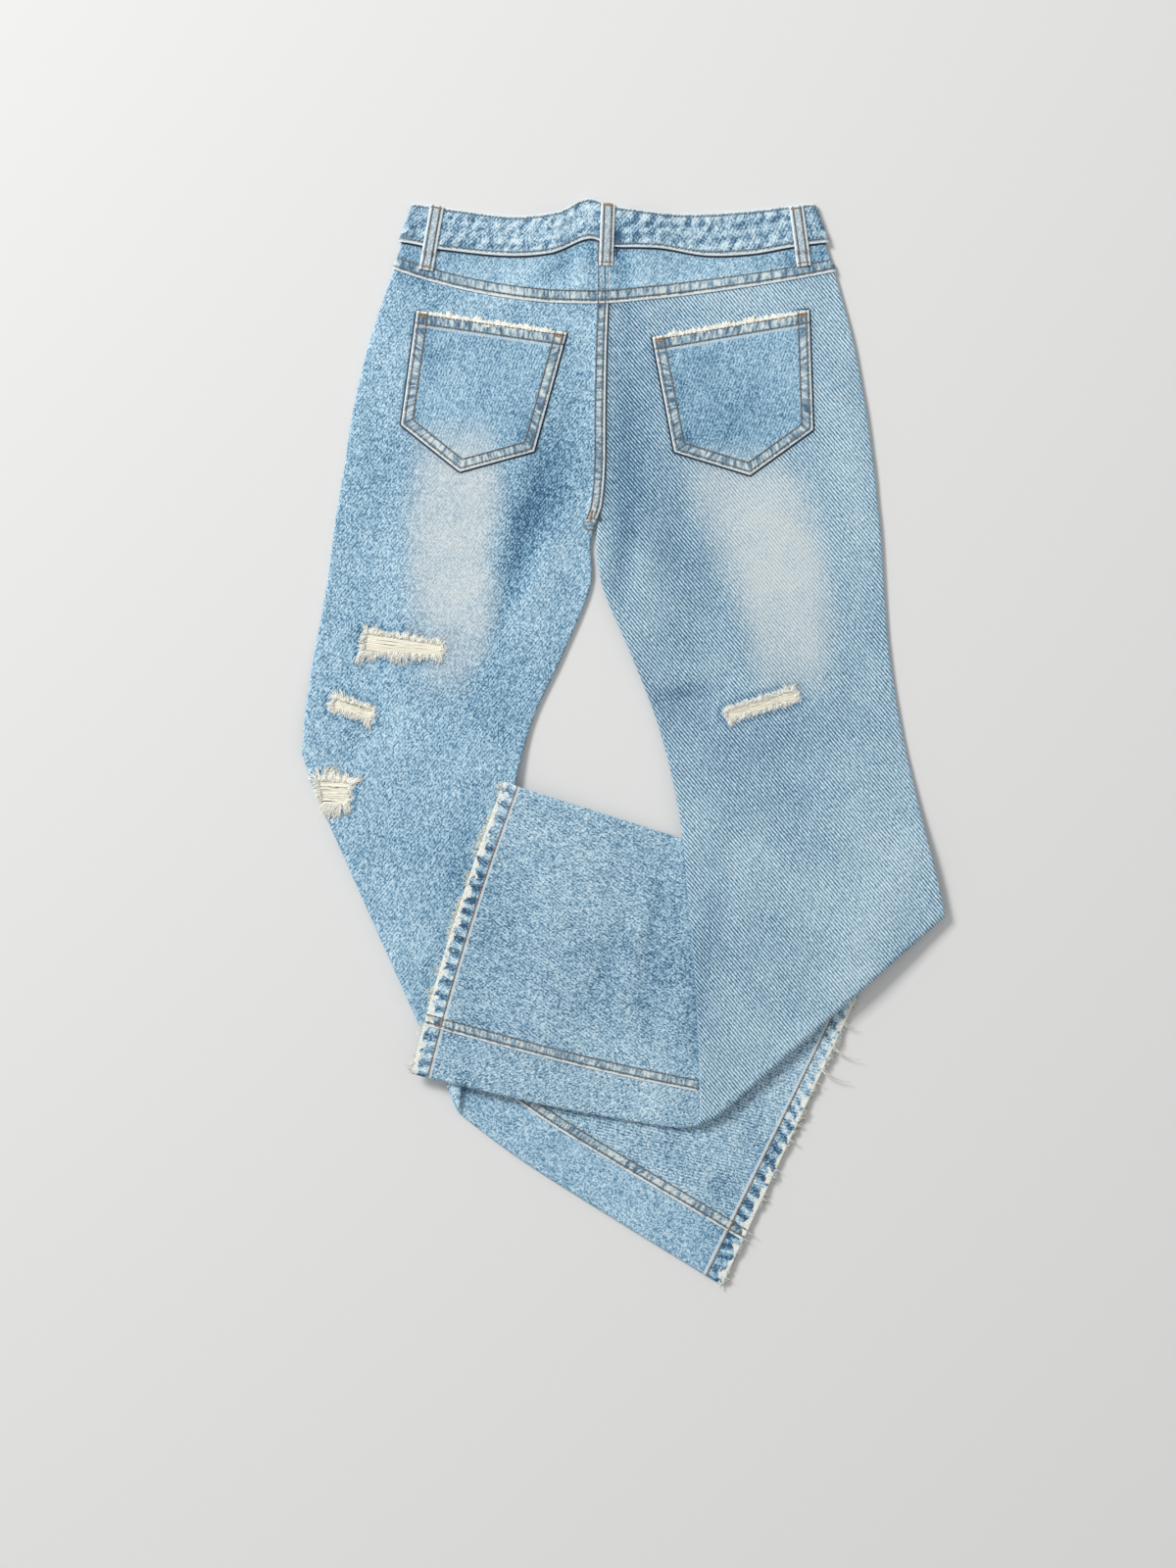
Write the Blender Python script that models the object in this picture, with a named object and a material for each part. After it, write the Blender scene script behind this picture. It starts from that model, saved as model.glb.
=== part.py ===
"""Ripped flared jeans, lying face down with both legs folded under below the knee.

Lengths are in millimetres and become metres as each mesh is made. X runs across the
garment, Y from the hems to the waist and Z up from the floor. A leg is drawn straight
first, as a flattened tube about its middle plane, and is then folded under itself.
"""
import math
from collections import namedtuple

import bmesh
import bpy
from mathutils import Vector

MM = 0.001

# Cloth
CLOTH = 1.2              # one layer of denim
HEM_CLOTH = 1.8          # the turned hem
HEM_DEPTH = 14.0
FRAY_CLOTH = 1.0         # loose weft threads in the rips and along the hems
FRAY_REACH = 5.0
SEAM = 0.3               # gap between two pieces that are sewn together
LAP = CLOTH + SEAM       # how far a piece rises where it lies over the next one

# A leg laid flat
HALF = 2.2               # from the middle plane of a flattened leg to its outer face
STACK = 5.4              # between the middle planes of two legs that lie on each other
FOLD_RADIUS = STACK / 2
FOLD_FACETS = 4
FLAT_COLUMNS = 8         # strips across the flat of a panel
ROW_STEP = 46.0          # longest strip down a leg
EDGE_GAP_ANGLE = 5.4     # half the gap between two panels, seen from the middle of an edge
FOOTPRINT_MARGIN = 15.0  # a leg keeps its full height this far beyond the leg beneath it
SETTLE = 110.0           # and comes down to the floor over this distance

# Waistband, loops, button and fly
CENTRE_FRONT = -18.0
BAND = 2.0               # doubled cloth of the waistband
BAND_HEIGHT = 34.0
BAND_UNDERLAP = 0.24     # share of the band's height that covers the yokes' top edges
BAND_LAP_END = 0.28
BAND_TOP_DROP = 0.9      # the band's free edge lies this much lower
BAND_SIDE_INSET = 0.15   # from the yoke's side edge to the centre of the band's side bend
BAND_OVERLAP = 22.0      # each end of the band passes the centre front by this much
YOKE_FLAT_END = 0.58     # shares of a yoke's depth: it starts to rise over the back panel,
YOKE_LAP_START = 0.74    # lies at full height over it,
YOKE_UNDERLAP = 0.78     # and covers the panel's top edge from here down
PUCKER = 3.9             # the back rises over the closed waistband ends
PUCKER_FLAT = 30.0
PUCKER_FADE = 55.0
LOOP_WIDTH = 12.5
LOOP_CLOTH = 1.6
LOOP_CROWN = 0.4         # the loop's middle stands this much higher
LOOP_ROWS = 9
LOOP_STIFFNESS = 5.0     # a loop bridges steps in what it lies on over this length
BUTTON_RADIUS = 8.5
BUTTON_HEIGHT = 1.6
FLY_WIDTH = 42.0
FLY_LENGTH = 150.0

# Height of the waistband's seam and of its free edge at places across the back
SEAM_LINE = (
    # x, y
    (-195, 443), (-164, 437), (-105, 431), (-62, 433), (-29, 445), (-9, 438.5),
    (35, 437), (75, 431), (115, 432.5), (150, 438.5), (180, 442.5),
)
CREST_LINE = (
    # x, y
    (-183, 477), (-148, 472), (-95, 466), (-55, 470), (-31, 481), (-10, 474.5),
    (45, 468), (105, 470.5), (168, 477),
)

# Lines across each straight leg, from its outer edge to its inner edge. sag is how far
# the line bows down at its middle, and seam_in is how far the inseam lies round on the
# front of the leg from its inner edge. The first row is the yoke seam.
Section = namedtuple("Section", "outer_x outer_y inner_x inner_y sag seam_in")
CROTCH = 6
LEFT_SECTIONS = (
    Section(-202, 419, -12.5, 389, 9.5, 6),
    Section(-223, 358, -14, 350, 4, 6),
    Section(-237, 301, -15, 297, 1, 6),
    Section(-246, 245, -15.5, 243, 0, 6),
    Section(-251, 214, -18, 214, 0, 6),
    Section(-252.5, 205, -20, 205, 0, 6),
    Section(-254, 197, -23, 197, 0, 6),
    Section(-257, 172, -28, 176, 0, 8),
    Section(-262, 137, -28.5, 137, 0, 12),
    Section(-273, 77, -54, 75, 0, 19),
    Section(-283, 14, -82, 12, 0, 26),
    Section(-304, -75, -106, -90, 0, 33),
    Section(-337, -172, -125, -190, 0, 38),
    Section(-372, -275, -141, -300, 0, 40),
    Section(-408, -382, -151, -405, 0, 41),
    Section(-452, -513, -185, -600, 0, 44),
)
RIGHT_SECTIONS = (
    Section(188, 417, -12.5, 389, 3, 6),
    Section(204, 358, -14, 350, 2, 6),
    Section(215, 301, -15, 297, 1, 6),
    Section(223, 245, -15.5, 243, 0, 6),
    Section(226, 214, -18, 214, 0, 6),
    Section(227, 205, -20, 205, 0, 6),
    Section(228, 197, -21, 197, 0, 6),
    Section(230, 172, -23, 176, 0, 8),
    Section(232, 137, -17, 137, 0, 11),
    Section(237, 77, 9, 75, 0, 16),
    Section(247, 14, 33, 12, 0, 22),
    Section(264, -62, 50, -62, 0, 27),
    Section(283, -140, 58, -142, 0, 30),
    Section(298, -240, 66, -248, 0, 32),
    Section(315, -340, 69, -350, 0, 35),
    Section(332, -435, 73.5, -460, 0, 40),
    Section(353, -550, 88, -598, 0, 45),
)

# Corners of each rip on its straight leg, anticlockwise
LEFT_RIPS = {
    "thigh": ((-228, 106), (-236, 72), (-163, 73), (-155, 89.5)),
    "knee": ((-253, 47), (-262, 31), (-223, 14.5), (-215.5, 32.5)),
    "fold": ((-286, -38), (-270, -75), (-237, -66), (-233, -24)),
}
RIGHT_RIPS = {
    "knee": ((88, 33), (92, 17), (157.5, 36), (152, 53)),
}

POCKETS = {
    # top outer, top inner, bottom inner, tip, bottom outer
    "left": ((-181.5, 382.5), (-49, 363), (-78, 258), (-143.5, 240), (-195.5, 281.5)),
    "right": ((165, 383), (26.5, 359), (46, 257.5), (113, 237), (168.5, 277)),
}
LOOPS = {
    # top and bottom of each loop's centre line
    "left": ((-163.5, 475), (-173.5, 418)),
    "centre": ((-12.5, 476), (-14.5, 421.5)),
    "right": ((153.5, 474.5), (160.5, 421.5)),
}

# Where each leg lies, as the ground covered by its lower and upper part
LEFT_SHIN = ((-283, -10), (-143, -335), (90, -482), (204, -224))
RIGHT_SHIN = ((284, -140), (-106, -33), (-187, -291), (73, -339))
LEFT_THIGH = ((-262, 137), (-283, -10), (-143, -335), (-34, 120))


# ---------------------------------------------------------------- shape of the folds

def smooth(t):
    """Ease from 0 to 1."""
    t = min(max(t, 0.0), 1.0)
    return t * t * (3 - 2 * t)


def distance_outside(outline, x, y):
    """Distance from a point to a convex outline, or 0 inside it."""
    point = Vector((x, y))
    nearest = math.inf
    inside = True
    for i, corner in enumerate(outline):
        start = Vector(corner)
        side = Vector(outline[(i + 1) % len(outline)]) - start
        to_point = point - start
        if side.cross(to_point) < 0:
            inside = False
        share = min(max(to_point.dot(side) / side.length_squared, 0.0), 1.0)
        nearest = min(nearest, (to_point - side * share).length)
    return 0.0 if inside else nearest


def lifted_by(outline, x, y):
    """1 over another leg, easing to 0 beyond its edge."""
    return smooth(1 - (distance_outside(outline, x, y) - FOOTPRINT_MARGIN) / SETTLE)


def left_lower(x, y):
    return HALF


def left_upper(x, y):
    return HALF + STACK * lifted_by(LEFT_SHIN, x, y)


def right_lower(x, y):
    return HALF + STACK * (lifted_by(LEFT_SHIN, x, y) + lifted_by(LEFT_THIGH, x, y))


def right_upper(x, y):
    return right_lower(x, y) + STACK * lifted_by(RIGHT_SHIN, x, y)


def pucker(x, y):
    """Rise of the back over the closed ends of the waistband."""
    across = smooth(1 - (abs(x - CENTRE_FRONT) - PUCKER_FLAT) / PUCKER_FADE)
    return PUCKER * across * smooth((y - 372) / PUCKER_FADE)


Leg = namedtuple("Leg", "sections waist_x fold_point fold_angle lower upper rips")
LEGS = {
    "left": Leg(LEFT_SECTIONS, -195, (-215, -170), 204.1, left_lower, left_upper, LEFT_RIPS),
    "right": Leg(RIGHT_SECTIONS, 180, (206, -223), -48.6, right_lower, right_upper, RIGHT_RIPS),
}


def fold_axis(leg):
    """A point on the axis that a leg bends round, and the direction out past the fold."""
    angle = math.radians(leg.fold_angle)
    out = Vector((math.cos(angle), math.sin(angle)))
    return Vector(leg.fold_point) - out * (FOLD_RADIUS + HALF), out


def folded(leg, point):
    """Where a point of the straight leg lies once the leg is folded under."""
    axis, out = fold_axis(leg)
    flat = Vector((point.x, point.y))
    past = (flat - axis).dot(out)
    bend = math.pi * FOLD_RADIUS
    if past <= 0:
        return Vector((flat.x, flat.y, leg.upper(flat.x, flat.y) + point.z))
    foot = flat - out * past
    if past < bend:
        turn = past / FOLD_RADIUS
        middle = leg.lower(foot.x, foot.y) + FOLD_RADIUS
        reach = FOLD_RADIUS + point.z
        where = foot + out * (reach * math.sin(turn))
        return Vector((where.x, where.y, middle + reach * math.cos(turn)))
    where = foot - out * (past - bend)
    return Vector((where.x, where.y, leg.lower(where.x, where.y) - point.z))


def back_place(leg):
    """Places the back pieces, with the pucker at the waist."""
    def place(point):
        where = folded(leg, point)
        if point.y > 0:
            where.z += pucker(point.x, point.y)
        return where
    return place


def front_place(leg):
    return lambda point: folded(leg, point)


# ---------------------------------------------------------------- rows across a leg

class Row:
    """A line across a leg: point(k) runs from the outer edge, k = 0, to the inner one."""

    def __init__(self, point, seam_in=0.0, closed=False):
        self.point = point
        self.width = (point(1.0) - point(0.0)).length
        self.seam_in = seam_in
        self.closed = closed

    def at(self, across):
        return self.point(across / self.width)


def section_row(section, closed):
    outer = Vector((section.outer_x, section.outer_y))
    inner = Vector((section.inner_x, section.inner_y))

    def point(k):
        return outer.lerp(inner, k) - Vector((0, 4 * k * (1 - k) * section.sag))
    return Row(point, section.seam_in, closed)


def row_between(first, second, share):
    return Row(
        lambda k: first.point(k).lerp(second.point(k), share),
        first.seam_in + (second.seam_in - first.seam_in) * share,
        first.closed and second.closed,
    )


def through(before, start, end, after, t):
    """A smooth curve's value between start and end."""
    slope = end - before + t * (2 * before - 5 * start + 4 * end - after
                                + t * (3 * (start - end) + after - before))
    return start + 0.5 * t * slope


def height_on(line, x):
    """Height of a waist line at x, on a smooth curve through its places."""
    last = len(line) - 1
    i = max(j for j in range(last) if line[j][0] <= max(x, line[0][0]))
    (x0, y0), (x1, y1) = line[i], line[i + 1]
    before = line[i - 1][1] if i > 0 else y0
    after = line[i + 2][1] if i + 2 <= last else y1
    return through(before, y0, y1, after, min(max((x - x0) / (x1 - x0), 0.0), 1.0))


def waist_point(x, level):
    """A point of the waistband, from its seam, level 0, to its free edge, level 1."""
    seam = Vector((x, height_on(SEAM_LINE, x)))
    share = (x - SEAM_LINE[0][0]) / (SEAM_LINE[-1][0] - SEAM_LINE[0][0])
    crest_x = CREST_LINE[0][0] + share * (CREST_LINE[-1][0] - CREST_LINE[0][0])
    return seam.lerp(Vector((crest_x, height_on(CREST_LINE, crest_x))), level)


def waist_row(leg, level):
    inner_x = leg.sections[0].inner_x
    return Row(lambda k: waist_point(leg.waist_x + (inner_x - leg.waist_x) * k, level))


def section_between(sections, i, t):
    around = (sections[max(i - 1, 0)], sections[i], sections[i + 1],
              sections[min(i + 2, len(sections) - 1)])
    return Section(*(through(*values, t) for values in zip(*around)))


def leg_rows(leg):
    """Rows from the yoke seam to the hem, closer together where sections lie far apart."""
    rows = []
    sections = leg.sections
    for i in range(len(sections) - 1):
        drop = Vector(sections[i][0:2]) - Vector(sections[i + 1][0:2])
        drop_in = Vector(sections[i][2:4]) - Vector(sections[i + 1][2:4])
        steps = math.ceil((drop.length + drop_in.length) / 2 / ROW_STEP)
        for step in range(steps):
            section = section_between(sections, i, step / steps)
            rows.append(section_row(section, i >= CROTCH))
    rows.append(section_row(sections[-1], True))
    return rows


def hem_rows(rows):
    """The last rows of a leg: before the turned hem, its fold line, and its edge."""
    above, hem = rows[-2], rows[-1]
    length = (above.point(0.5) - hem.point(0.5)).length
    share = HEM_DEPTH / length
    return row_between(above, hem, 1 - share * 1.3), row_between(above, hem, 1 - share), hem


# ---------------------------------------------------------------- profiles of panels

def bend(centre, reach, thickness, angles):
    """Outer and inner points round an edge of the flattened leg: across, up, across, up."""
    points = []
    for angle in angles:
        c, s = math.cos(math.radians(angle)), math.sin(math.radians(angle))
        inner = reach - thickness
        points.append((centre + reach * c, reach * s, centre + inner * c, inner * s))
    return points


def flat(places, reach, thickness):
    side = math.copysign(1, reach)
    return [(place, reach, place, reach - side * thickness) for place in places]


def spaced(start, end, count):
    return [start + (end - start) * i / count for i in range(1, count)]


def back_profile(row, thickness, rise=0.0, inner_gap=0.0):
    """Across the back, and round the inner edge to the inseam where the leg is closed."""
    reach = HALF + rise
    points = bend(HALF, reach, thickness, (180 - EDGE_GAP_ANGLE, 135, 90))
    if not row.closed:
        end = row.width - inner_gap
        return points + flat(spaced(HALF, end, FLAT_COLUMNS) + [end], reach, thickness)
    end = row.width - HALF
    points += flat(spaced(HALF, end, FLAT_COLUMNS), reach, thickness)
    points += bend(end, reach, thickness, (90, 45, 0, -45, -90))
    seam = row.width - row.seam_in + SEAM
    return points + flat(spaced(end, seam, 2) + [seam], -reach, thickness)


def front_profile(row, thickness, inner_gap=0.0):
    """Across the front, from the outseam to the inseam or to the centre front."""
    points = bend(HALF, HALF, thickness, (EDGE_GAP_ANGLE - 180, -135, -90))
    end = row.width - (row.seam_in if row.closed else inner_gap)
    return points + flat(spaced(HALF, end, FLAT_COLUMNS) + [end], -HALF, thickness)


# ---------------------------------------------------------------- sheets and solids

def sheet_from(grid):
    """A sheet through a grid of (outer point, inner point) pairs; a short row leaves a gap."""
    sheet = bmesh.new()
    inward = sheet.verts.layers.float_vector.new("inward")
    verts = []
    for line in grid:
        verts.append([])
        for outer, inner in line:
            vert = sheet.verts.new(outer)
            vert[inward] = inner - outer
            verts[-1].append(vert)
    for upper, lower in zip(verts, verts[1:]):
        for i in range(min(len(upper), len(lower)) - 1):
            sheet.faces.new((upper[i], upper[i + 1], lower[i + 1], lower[i]))
    sheet.normal_update()
    return sheet


def grid_line(row, profile):
    """A row's profile as pairs of points of the straight leg."""
    line = []
    for across, up, across_in, up_in in profile:
        outer, inner = row.at(across), row.at(across_in)
        line.append((Vector((*outer, up)), Vector((*inner, up_in))))
    return line


def split(sheet, faces, point, normal):
    """Split some faces of a sheet along an upright plane."""
    edges = {edge for face in faces for edge in face.edges}
    verts = {vert for face in faces for vert in face.verts}
    bmesh.ops.bisect_plane(
        sheet, geom=list(verts) + list(edges) + list(faces), dist=0.001,
        plane_co=(point[0], point[1], 0), plane_no=(normal[0], normal[1], 0),
    )


def split_at_fold(sheet, leg):
    """Give the sheet an edge along each facet of the fold."""
    axis, out = fold_axis(leg)
    for i in range(FOLD_FACETS + 1):
        point = axis + out * (math.pi * FOLD_RADIUS * i / FOLD_FACETS)
        split(sheet, sheet.faces[:], point, out)


def inset(corners, gap):
    """A convex outline moved in by the gap on every side."""
    lines = []
    for i, corner in enumerate(corners):
        start = Vector(corner)
        side = (Vector(corners[(i + 1) % len(corners)]) - start).normalized()
        lines.append((start + Vector((-side.y, side.x)) * gap, side))
    moved = []
    for (start_a, along_a), (start_b, along_b) in zip([lines[-1]] + lines[:-1], lines):
        between = start_b - start_a
        share = between.cross(along_b) / along_a.cross(along_b)
        moved.append(start_a + along_a * share)
    return moved


def clip(sheet, corners, keep_inside):
    """Cut a convex outline through the back of a leg, and keep its inside or the rest."""
    low_x, high_x = min(c[0] for c in corners), max(c[0] for c in corners)
    low_y, high_y = min(c[1] for c in corners), max(c[1] for c in corners)

    def near(face):
        xs, ys = [v.co.x for v in face.verts], [v.co.y for v in face.verts]
        on_back = all(v.co.z > HALF / 2 for v in face.verts)
        across = max(xs) > low_x and min(xs) < high_x
        return on_back and across and max(ys) > low_y and min(ys) < high_y

    for i, corner in enumerate(corners):
        side = Vector(corners[(i + 1) % len(corners)]) - Vector(corner)
        split(sheet, [f for f in sheet.faces if near(f)], corner, (side.y, -side.x))

    def inside(face):
        centre = face.calc_center_median()
        flat_centre = Vector((centre.x, centre.y))
        return near(face) and distance_outside(corners, *flat_centre) == 0.0

    unwanted = [f for f in sheet.faces if inside(f) != keep_inside]
    bmesh.ops.delete(sheet, geom=unwanted, context="FACES")


def wall(name, sheet, place, material):
    """Close a sheet's outer and inner faces into one solid, and put it in place."""
    bmesh.ops.triangulate(sheet, faces=sheet.faces[:])
    inward = sheet.verts.layers.float_vector["inward"]
    solid = bmesh.new()
    outer, inner = {}, {}
    for vert in sheet.verts:
        outer[vert] = solid.verts.new(place(vert.co) * MM)
        inner[vert] = solid.verts.new(place(vert.co + vert[inward]) * MM)
    for face in sheet.faces:
        solid.faces.new([outer[v] for v in face.verts])
        solid.faces.new([inner[v] for v in reversed(face.verts)])
    for edge in sheet.edges:
        if edge.is_boundary:
            a, b = edge.verts
            solid.faces.new((outer[a], outer[b], inner[b], inner[a]))
    sheet.free()
    bmesh.ops.recalc_face_normals(solid, faces=solid.faces[:])
    make_object(name, solid, material)


def make_object(name, solid, material):
    mesh = bpy.data.meshes.new(name)
    solid.to_mesh(mesh)
    solid.free()
    mesh.materials.append(material)
    bpy.context.scene.collection.objects.link(bpy.data.objects.new(name, mesh))


def make_material(name, colour, roughness):
    material = bpy.data.materials.new(name)
    material.use_nodes = True
    shader = material.node_tree.nodes["Principled BSDF"]
    shader.inputs["Base Color"].default_value = (*colour, 1)
    shader.inputs["Roughness"].default_value = roughness
    shader.inputs["Metallic"].default_value = 0.9 if "metal" in name else 0.0
    return material


# ---------------------------------------------------------------- pieces

def make_back_leg(name, leg, inner_gap, denim, thread):
    """A back panel from under the yoke to the hem, with its rips, and their threads."""
    rows = leg_rows(leg)
    top = row_between(waist_row(leg, 0), rows[0], YOKE_UNDERLAP)
    grid = [grid_line(top, back_profile(top, CLOTH, inner_gap=inner_gap))]
    for row in rows[:-1]:
        grid.append(grid_line(row, back_profile(row, CLOTH, inner_gap=inner_gap)))
    before, turned, hem = hem_rows(rows)
    grid.append(grid_line(before, back_profile(before, CLOTH)))
    grid.append(grid_line(turned, back_profile(turned, HEM_CLOTH)))
    grid.append(grid_line(hem, back_profile(hem, HEM_CLOTH)))
    panel = sheet_from(grid)
    for rip, corners in leg.rips.items():
        threads = panel.copy()
        clip(threads, inset(corners, SEAM), keep_inside=True)
        thin_to(threads, FRAY_CLOTH)
        split_at_fold(threads, leg)
        wall(f"rip_threads_{name}_{rip}", threads, back_place(leg), thread)
    for corners in leg.rips.values():
        clip(panel, corners, keep_inside=False)
    split_at_fold(panel, leg)
    wall(f"back_leg_{name}", panel, back_place(leg), denim)


def thin_to(sheet, thickness):
    """Make a sheet's wall this thick, keeping its outer face."""
    inward = sheet.verts.layers.float_vector["inward"]
    for vert in sheet.verts:
        vert[inward] = vert[inward].normalized() * thickness


def make_front_leg(name, leg, inner_gap, denim):
    """A front panel from the waistband to the hem."""
    waist, rows = waist_row(leg, 0), leg_rows(leg)
    top = Row(lambda k: waist.point(k) - Vector((0, SEAM)))
    grid = []
    for row in [top, row_between(waist, rows[0], 0.5)] + rows[:-1]:
        grid.append(grid_line(row, front_profile(row, CLOTH, inner_gap)))
    before, turned, hem = hem_rows(rows)
    grid.append(grid_line(before, front_profile(before, CLOTH)))
    grid.append(grid_line(turned, front_profile(turned, HEM_CLOTH)))
    grid.append(grid_line(hem, front_profile(hem, HEM_CLOTH)))
    panel = sheet_from(grid)
    split_at_fold(panel, leg)
    wall(f"front_leg_{name}", panel, front_place(leg), denim)


def make_hem_fringe(name, leg, thread):
    """The frayed ends along a hem, one strip on each panel."""
    rows = leg_rows(leg)
    above, hem = rows[-2], rows[-1]
    length = (above.point(0.5) - hem.point(0.5)).length
    ends = [row_between(above, hem, 1 + reach / length) for reach in (SEAM, FRAY_REACH)]
    for end in ends:
        end.closed = True
    for part, profile, place in (("back", back_profile, back_place(leg)),
                                 ("front", front_profile, front_place(leg))):
        strip = sheet_from([grid_line(end, profile(end, FRAY_CLOTH)) for end in ends])
        wall(f"hem_fringe_{name}_{part}", strip, place, thread)


def make_yoke(name, leg, inner_gap, denim):
    """A yoke, from under the waistband to its seam, where it laps over the back panel."""
    waist, seam = waist_row(leg, 0), section_row(leg.sections[0], False)
    rows = [
        # row, rise
        (waist_row(leg, BAND_UNDERLAP), 0.0),
        (waist, 0.0),
        (row_between(waist, seam, YOKE_FLAT_END / 2), 0.0),
        (row_between(waist, seam, YOKE_FLAT_END), 0.0),
        (row_between(waist, seam, YOKE_LAP_START), LAP),
        (seam, LAP),
    ]
    grid = [grid_line(row, back_profile(row, CLOTH, rise, inner_gap)) for row, rise in rows]
    wall(f"yoke_{name}", sheet_from(grid), back_place(leg), denim)


def band_top(level):
    """Height of the waistband's outer face on the back, before the pucker."""
    fall = max(level - BAND_LAP_END, 0) / (1 - BAND_LAP_END)
    return 2 * HALF + SEAM + BAND - BAND_TOP_DROP * fall


def waist_columns(leg, inner_gap):
    """x of the flat columns that the yoke, the front and the waistband share."""
    row = waist_row(leg, 0)
    end = row.width - inner_gap
    places = [HALF] + spaced(HALF, end, FLAT_COLUMNS) + [end]
    inner_x = leg.sections[0].inner_x
    return [leg.waist_x + (inner_x - leg.waist_x) * place / row.width for place in places]


def band_front(x, side):
    """Underside height of the waistband's front, which rises at its closed ends."""
    over_button = BUTTON_HEIGHT + SEAM
    if side == "left":
        return over_button * smooth((x - CENTRE_FRONT + BAND_OVERLAP + 20) / 20)
    top = over_button + BAND + SEAM
    return top * smooth((CENTRE_FRONT + BAND_OVERLAP + 26 - x) / 22)


def make_waistband(denim):
    """One band from the left front, round the back, to the right front."""
    left_x = waist_columns(LEGS["left"], 0)
    right_x = waist_columns(LEGS["right"], SEAM)
    left_end, right_end = CENTRE_FRONT + BAND_OVERLAP, CENTRE_FRONT - BAND_OVERLAP
    front_left = [left_end, (left_end + left_x[-1]) / 2] + left_x[::-1]
    front_right = right_x + [(right_end + right_x[-1]) / 2, right_end]
    grid = []
    for level in (0.0, BAND_LAP_END, 0.62, 1.0):
        line = [band_pair(x, level, band_front(x, "left"), 1) for x in front_left]
        line += band_side(LEGS["left"], level, -1)
        for x in left_x + right_x[::-1]:
            top = band_top(level) + pucker(*waist_point(x, level))
            line.append(band_pair(x, level, top, -1))
        line += band_side(LEGS["right"], level, 1)
        line += [band_pair(x, level, band_front(x, "right"), 1) for x in front_right]
        grid.append(line)
    wall("waistband", sheet_from(grid), lambda point: point.copy(), denim)


def band_pair(x, level, outer_z, inward):
    """Outer and inner points of the band's flat parts."""
    where = waist_point(x, level)
    return Vector((*where, outer_z)), Vector((*where, outer_z + inward * BAND))


def band_side(leg, level, side):
    """The band's bend round one side of the waist, from front to back on the left."""
    top = band_top(level)
    reach = top / 2
    centre = waist_point(leg.waist_x, level) - Vector((side * BAND_SIDE_INSET, 0))
    angles = (-90, -45, 0, 45, 90) if side < 0 else (90, 45, 0, -45, -90)
    line = []
    for angle in angles:
        c, s = math.cos(math.radians(angle)), math.sin(math.radians(angle))
        outer = Vector((centre.x + side * reach * c, centre.y, reach + reach * s))
        inner = Vector((centre.x + side * (reach - BAND) * c, centre.y,
                        reach + (reach - BAND) * s))
        line.append((outer, inner))
    return line


def yoke_top(leg, x, y):
    """Height of a yoke's outer face, before the pucker."""
    seam = leg.sections[0]
    k = (x - seam.outer_x) / (seam.inner_x - seam.outer_x)
    seam_y = seam.outer_y + (seam.inner_y - seam.outer_y) * k - 4 * k * (1 - k) * seam.sag
    waist_y = height_on(SEAM_LINE, x)
    down = (waist_y - y) / (waist_y - seam_y)
    rise = (down - YOKE_FLAT_END) / (YOKE_LAP_START - YOKE_FLAT_END)
    return 2 * HALF + LAP * min(max(rise, 0.0), 1.0)


def waist_top(leg, x, y):
    """Height of whatever lies outermost at the waist: the band, or the yoke below it."""
    above_seam = y - height_on(SEAM_LINE, x)
    if above_seam > -1:
        return band_top(min(max(above_seam / BAND_HEIGHT, 0.0), 1.0))
    return yoke_top(leg, x, y)


def make_belt_loop(name, top, bottom, denim):
    """A strip over the waistband, sewn to its free edge and to the yoke."""
    leg = LEGS["left" if name == "left" else "right"]
    start, end = Vector(top), Vector(bottom)
    down = (end - start).normalized()
    across = Vector((-down.y, down.x)) * (LOOP_WIDTH / 2)
    grid = []
    for i in range(LOOP_ROWS + 1):
        centre = start.lerp(end, i / LOOP_ROWS)
        steps = [centre + down * (LOOP_STIFFNESS * j) for j in (-1, -0.5, 0, 0.5, 1)]
        height = max(waist_top(leg, *step) for step in steps)
        line = []
        for side in (-1, 0, 1):
            where = centre + across * side
            crown = LOOP_CROWN if side == 0 else 0.0
            z = height + pucker(*where) + SEAM + LOOP_CLOTH
            line.append((Vector((*where, z + crown)), Vector((*where, z - LOOP_CLOTH))))
        grid.append(line)
    wall(f"belt_loop_{name}", sheet_from(grid), lambda point: point.copy(), denim)


def make_pocket(name, corners, denim):
    """A patch pocket lying on the back panel, pointed at its foot."""
    top_outer, top_inner, low_inner, tip, low_outer = (Vector(c) for c in corners)
    tip_share = (tip - low_outer).length / ((tip - low_outer).length + (tip - low_inner).length)
    columns = (0.0, tip_share / 2, tip_share, (1 + tip_share) / 2, 1.0)
    grid = []
    for down in (0.0, 0.14, 0.45, 0.75, 1.0):
        line = []
        for k in columns:
            upper = top_outer.lerp(top_inner, k)
            if k < tip_share:
                lower = low_outer.lerp(tip, k / tip_share)
            else:
                lower = tip.lerp(low_inner, (k - tip_share) / (1 - tip_share))
            where = upper.lerp(lower, down)
            z = 2 * HALF + pucker(*where) + SEAM + CLOTH
            line.append((Vector((*where, z)), Vector((*where, z - CLOTH))))
        grid.append(line)
    wall(f"pocket_{name}", sheet_from(grid), lambda point: point.copy(), denim)


def make_fly_shield(denim):
    """The flap behind the fly, inside on the front panels."""
    grid = []
    for down in (4.0, FLY_LENGTH * 0.6, FLY_LENGTH):
        width = FLY_WIDTH * (1.0 if down < FLY_LENGTH else 0.6)
        line = []
        for k in (0.0, 0.5, 1.0):
            x = -20 + width * k
            y = height_on(SEAM_LINE, x) - down
            z = CLOTH + SEAM + CLOTH
            line.append((Vector((x, y, z)), Vector((x, y, z - CLOTH))))
        grid.append(line)
    wall("fly_shield", sheet_from(grid), lambda point: point.copy(), denim)


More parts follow.
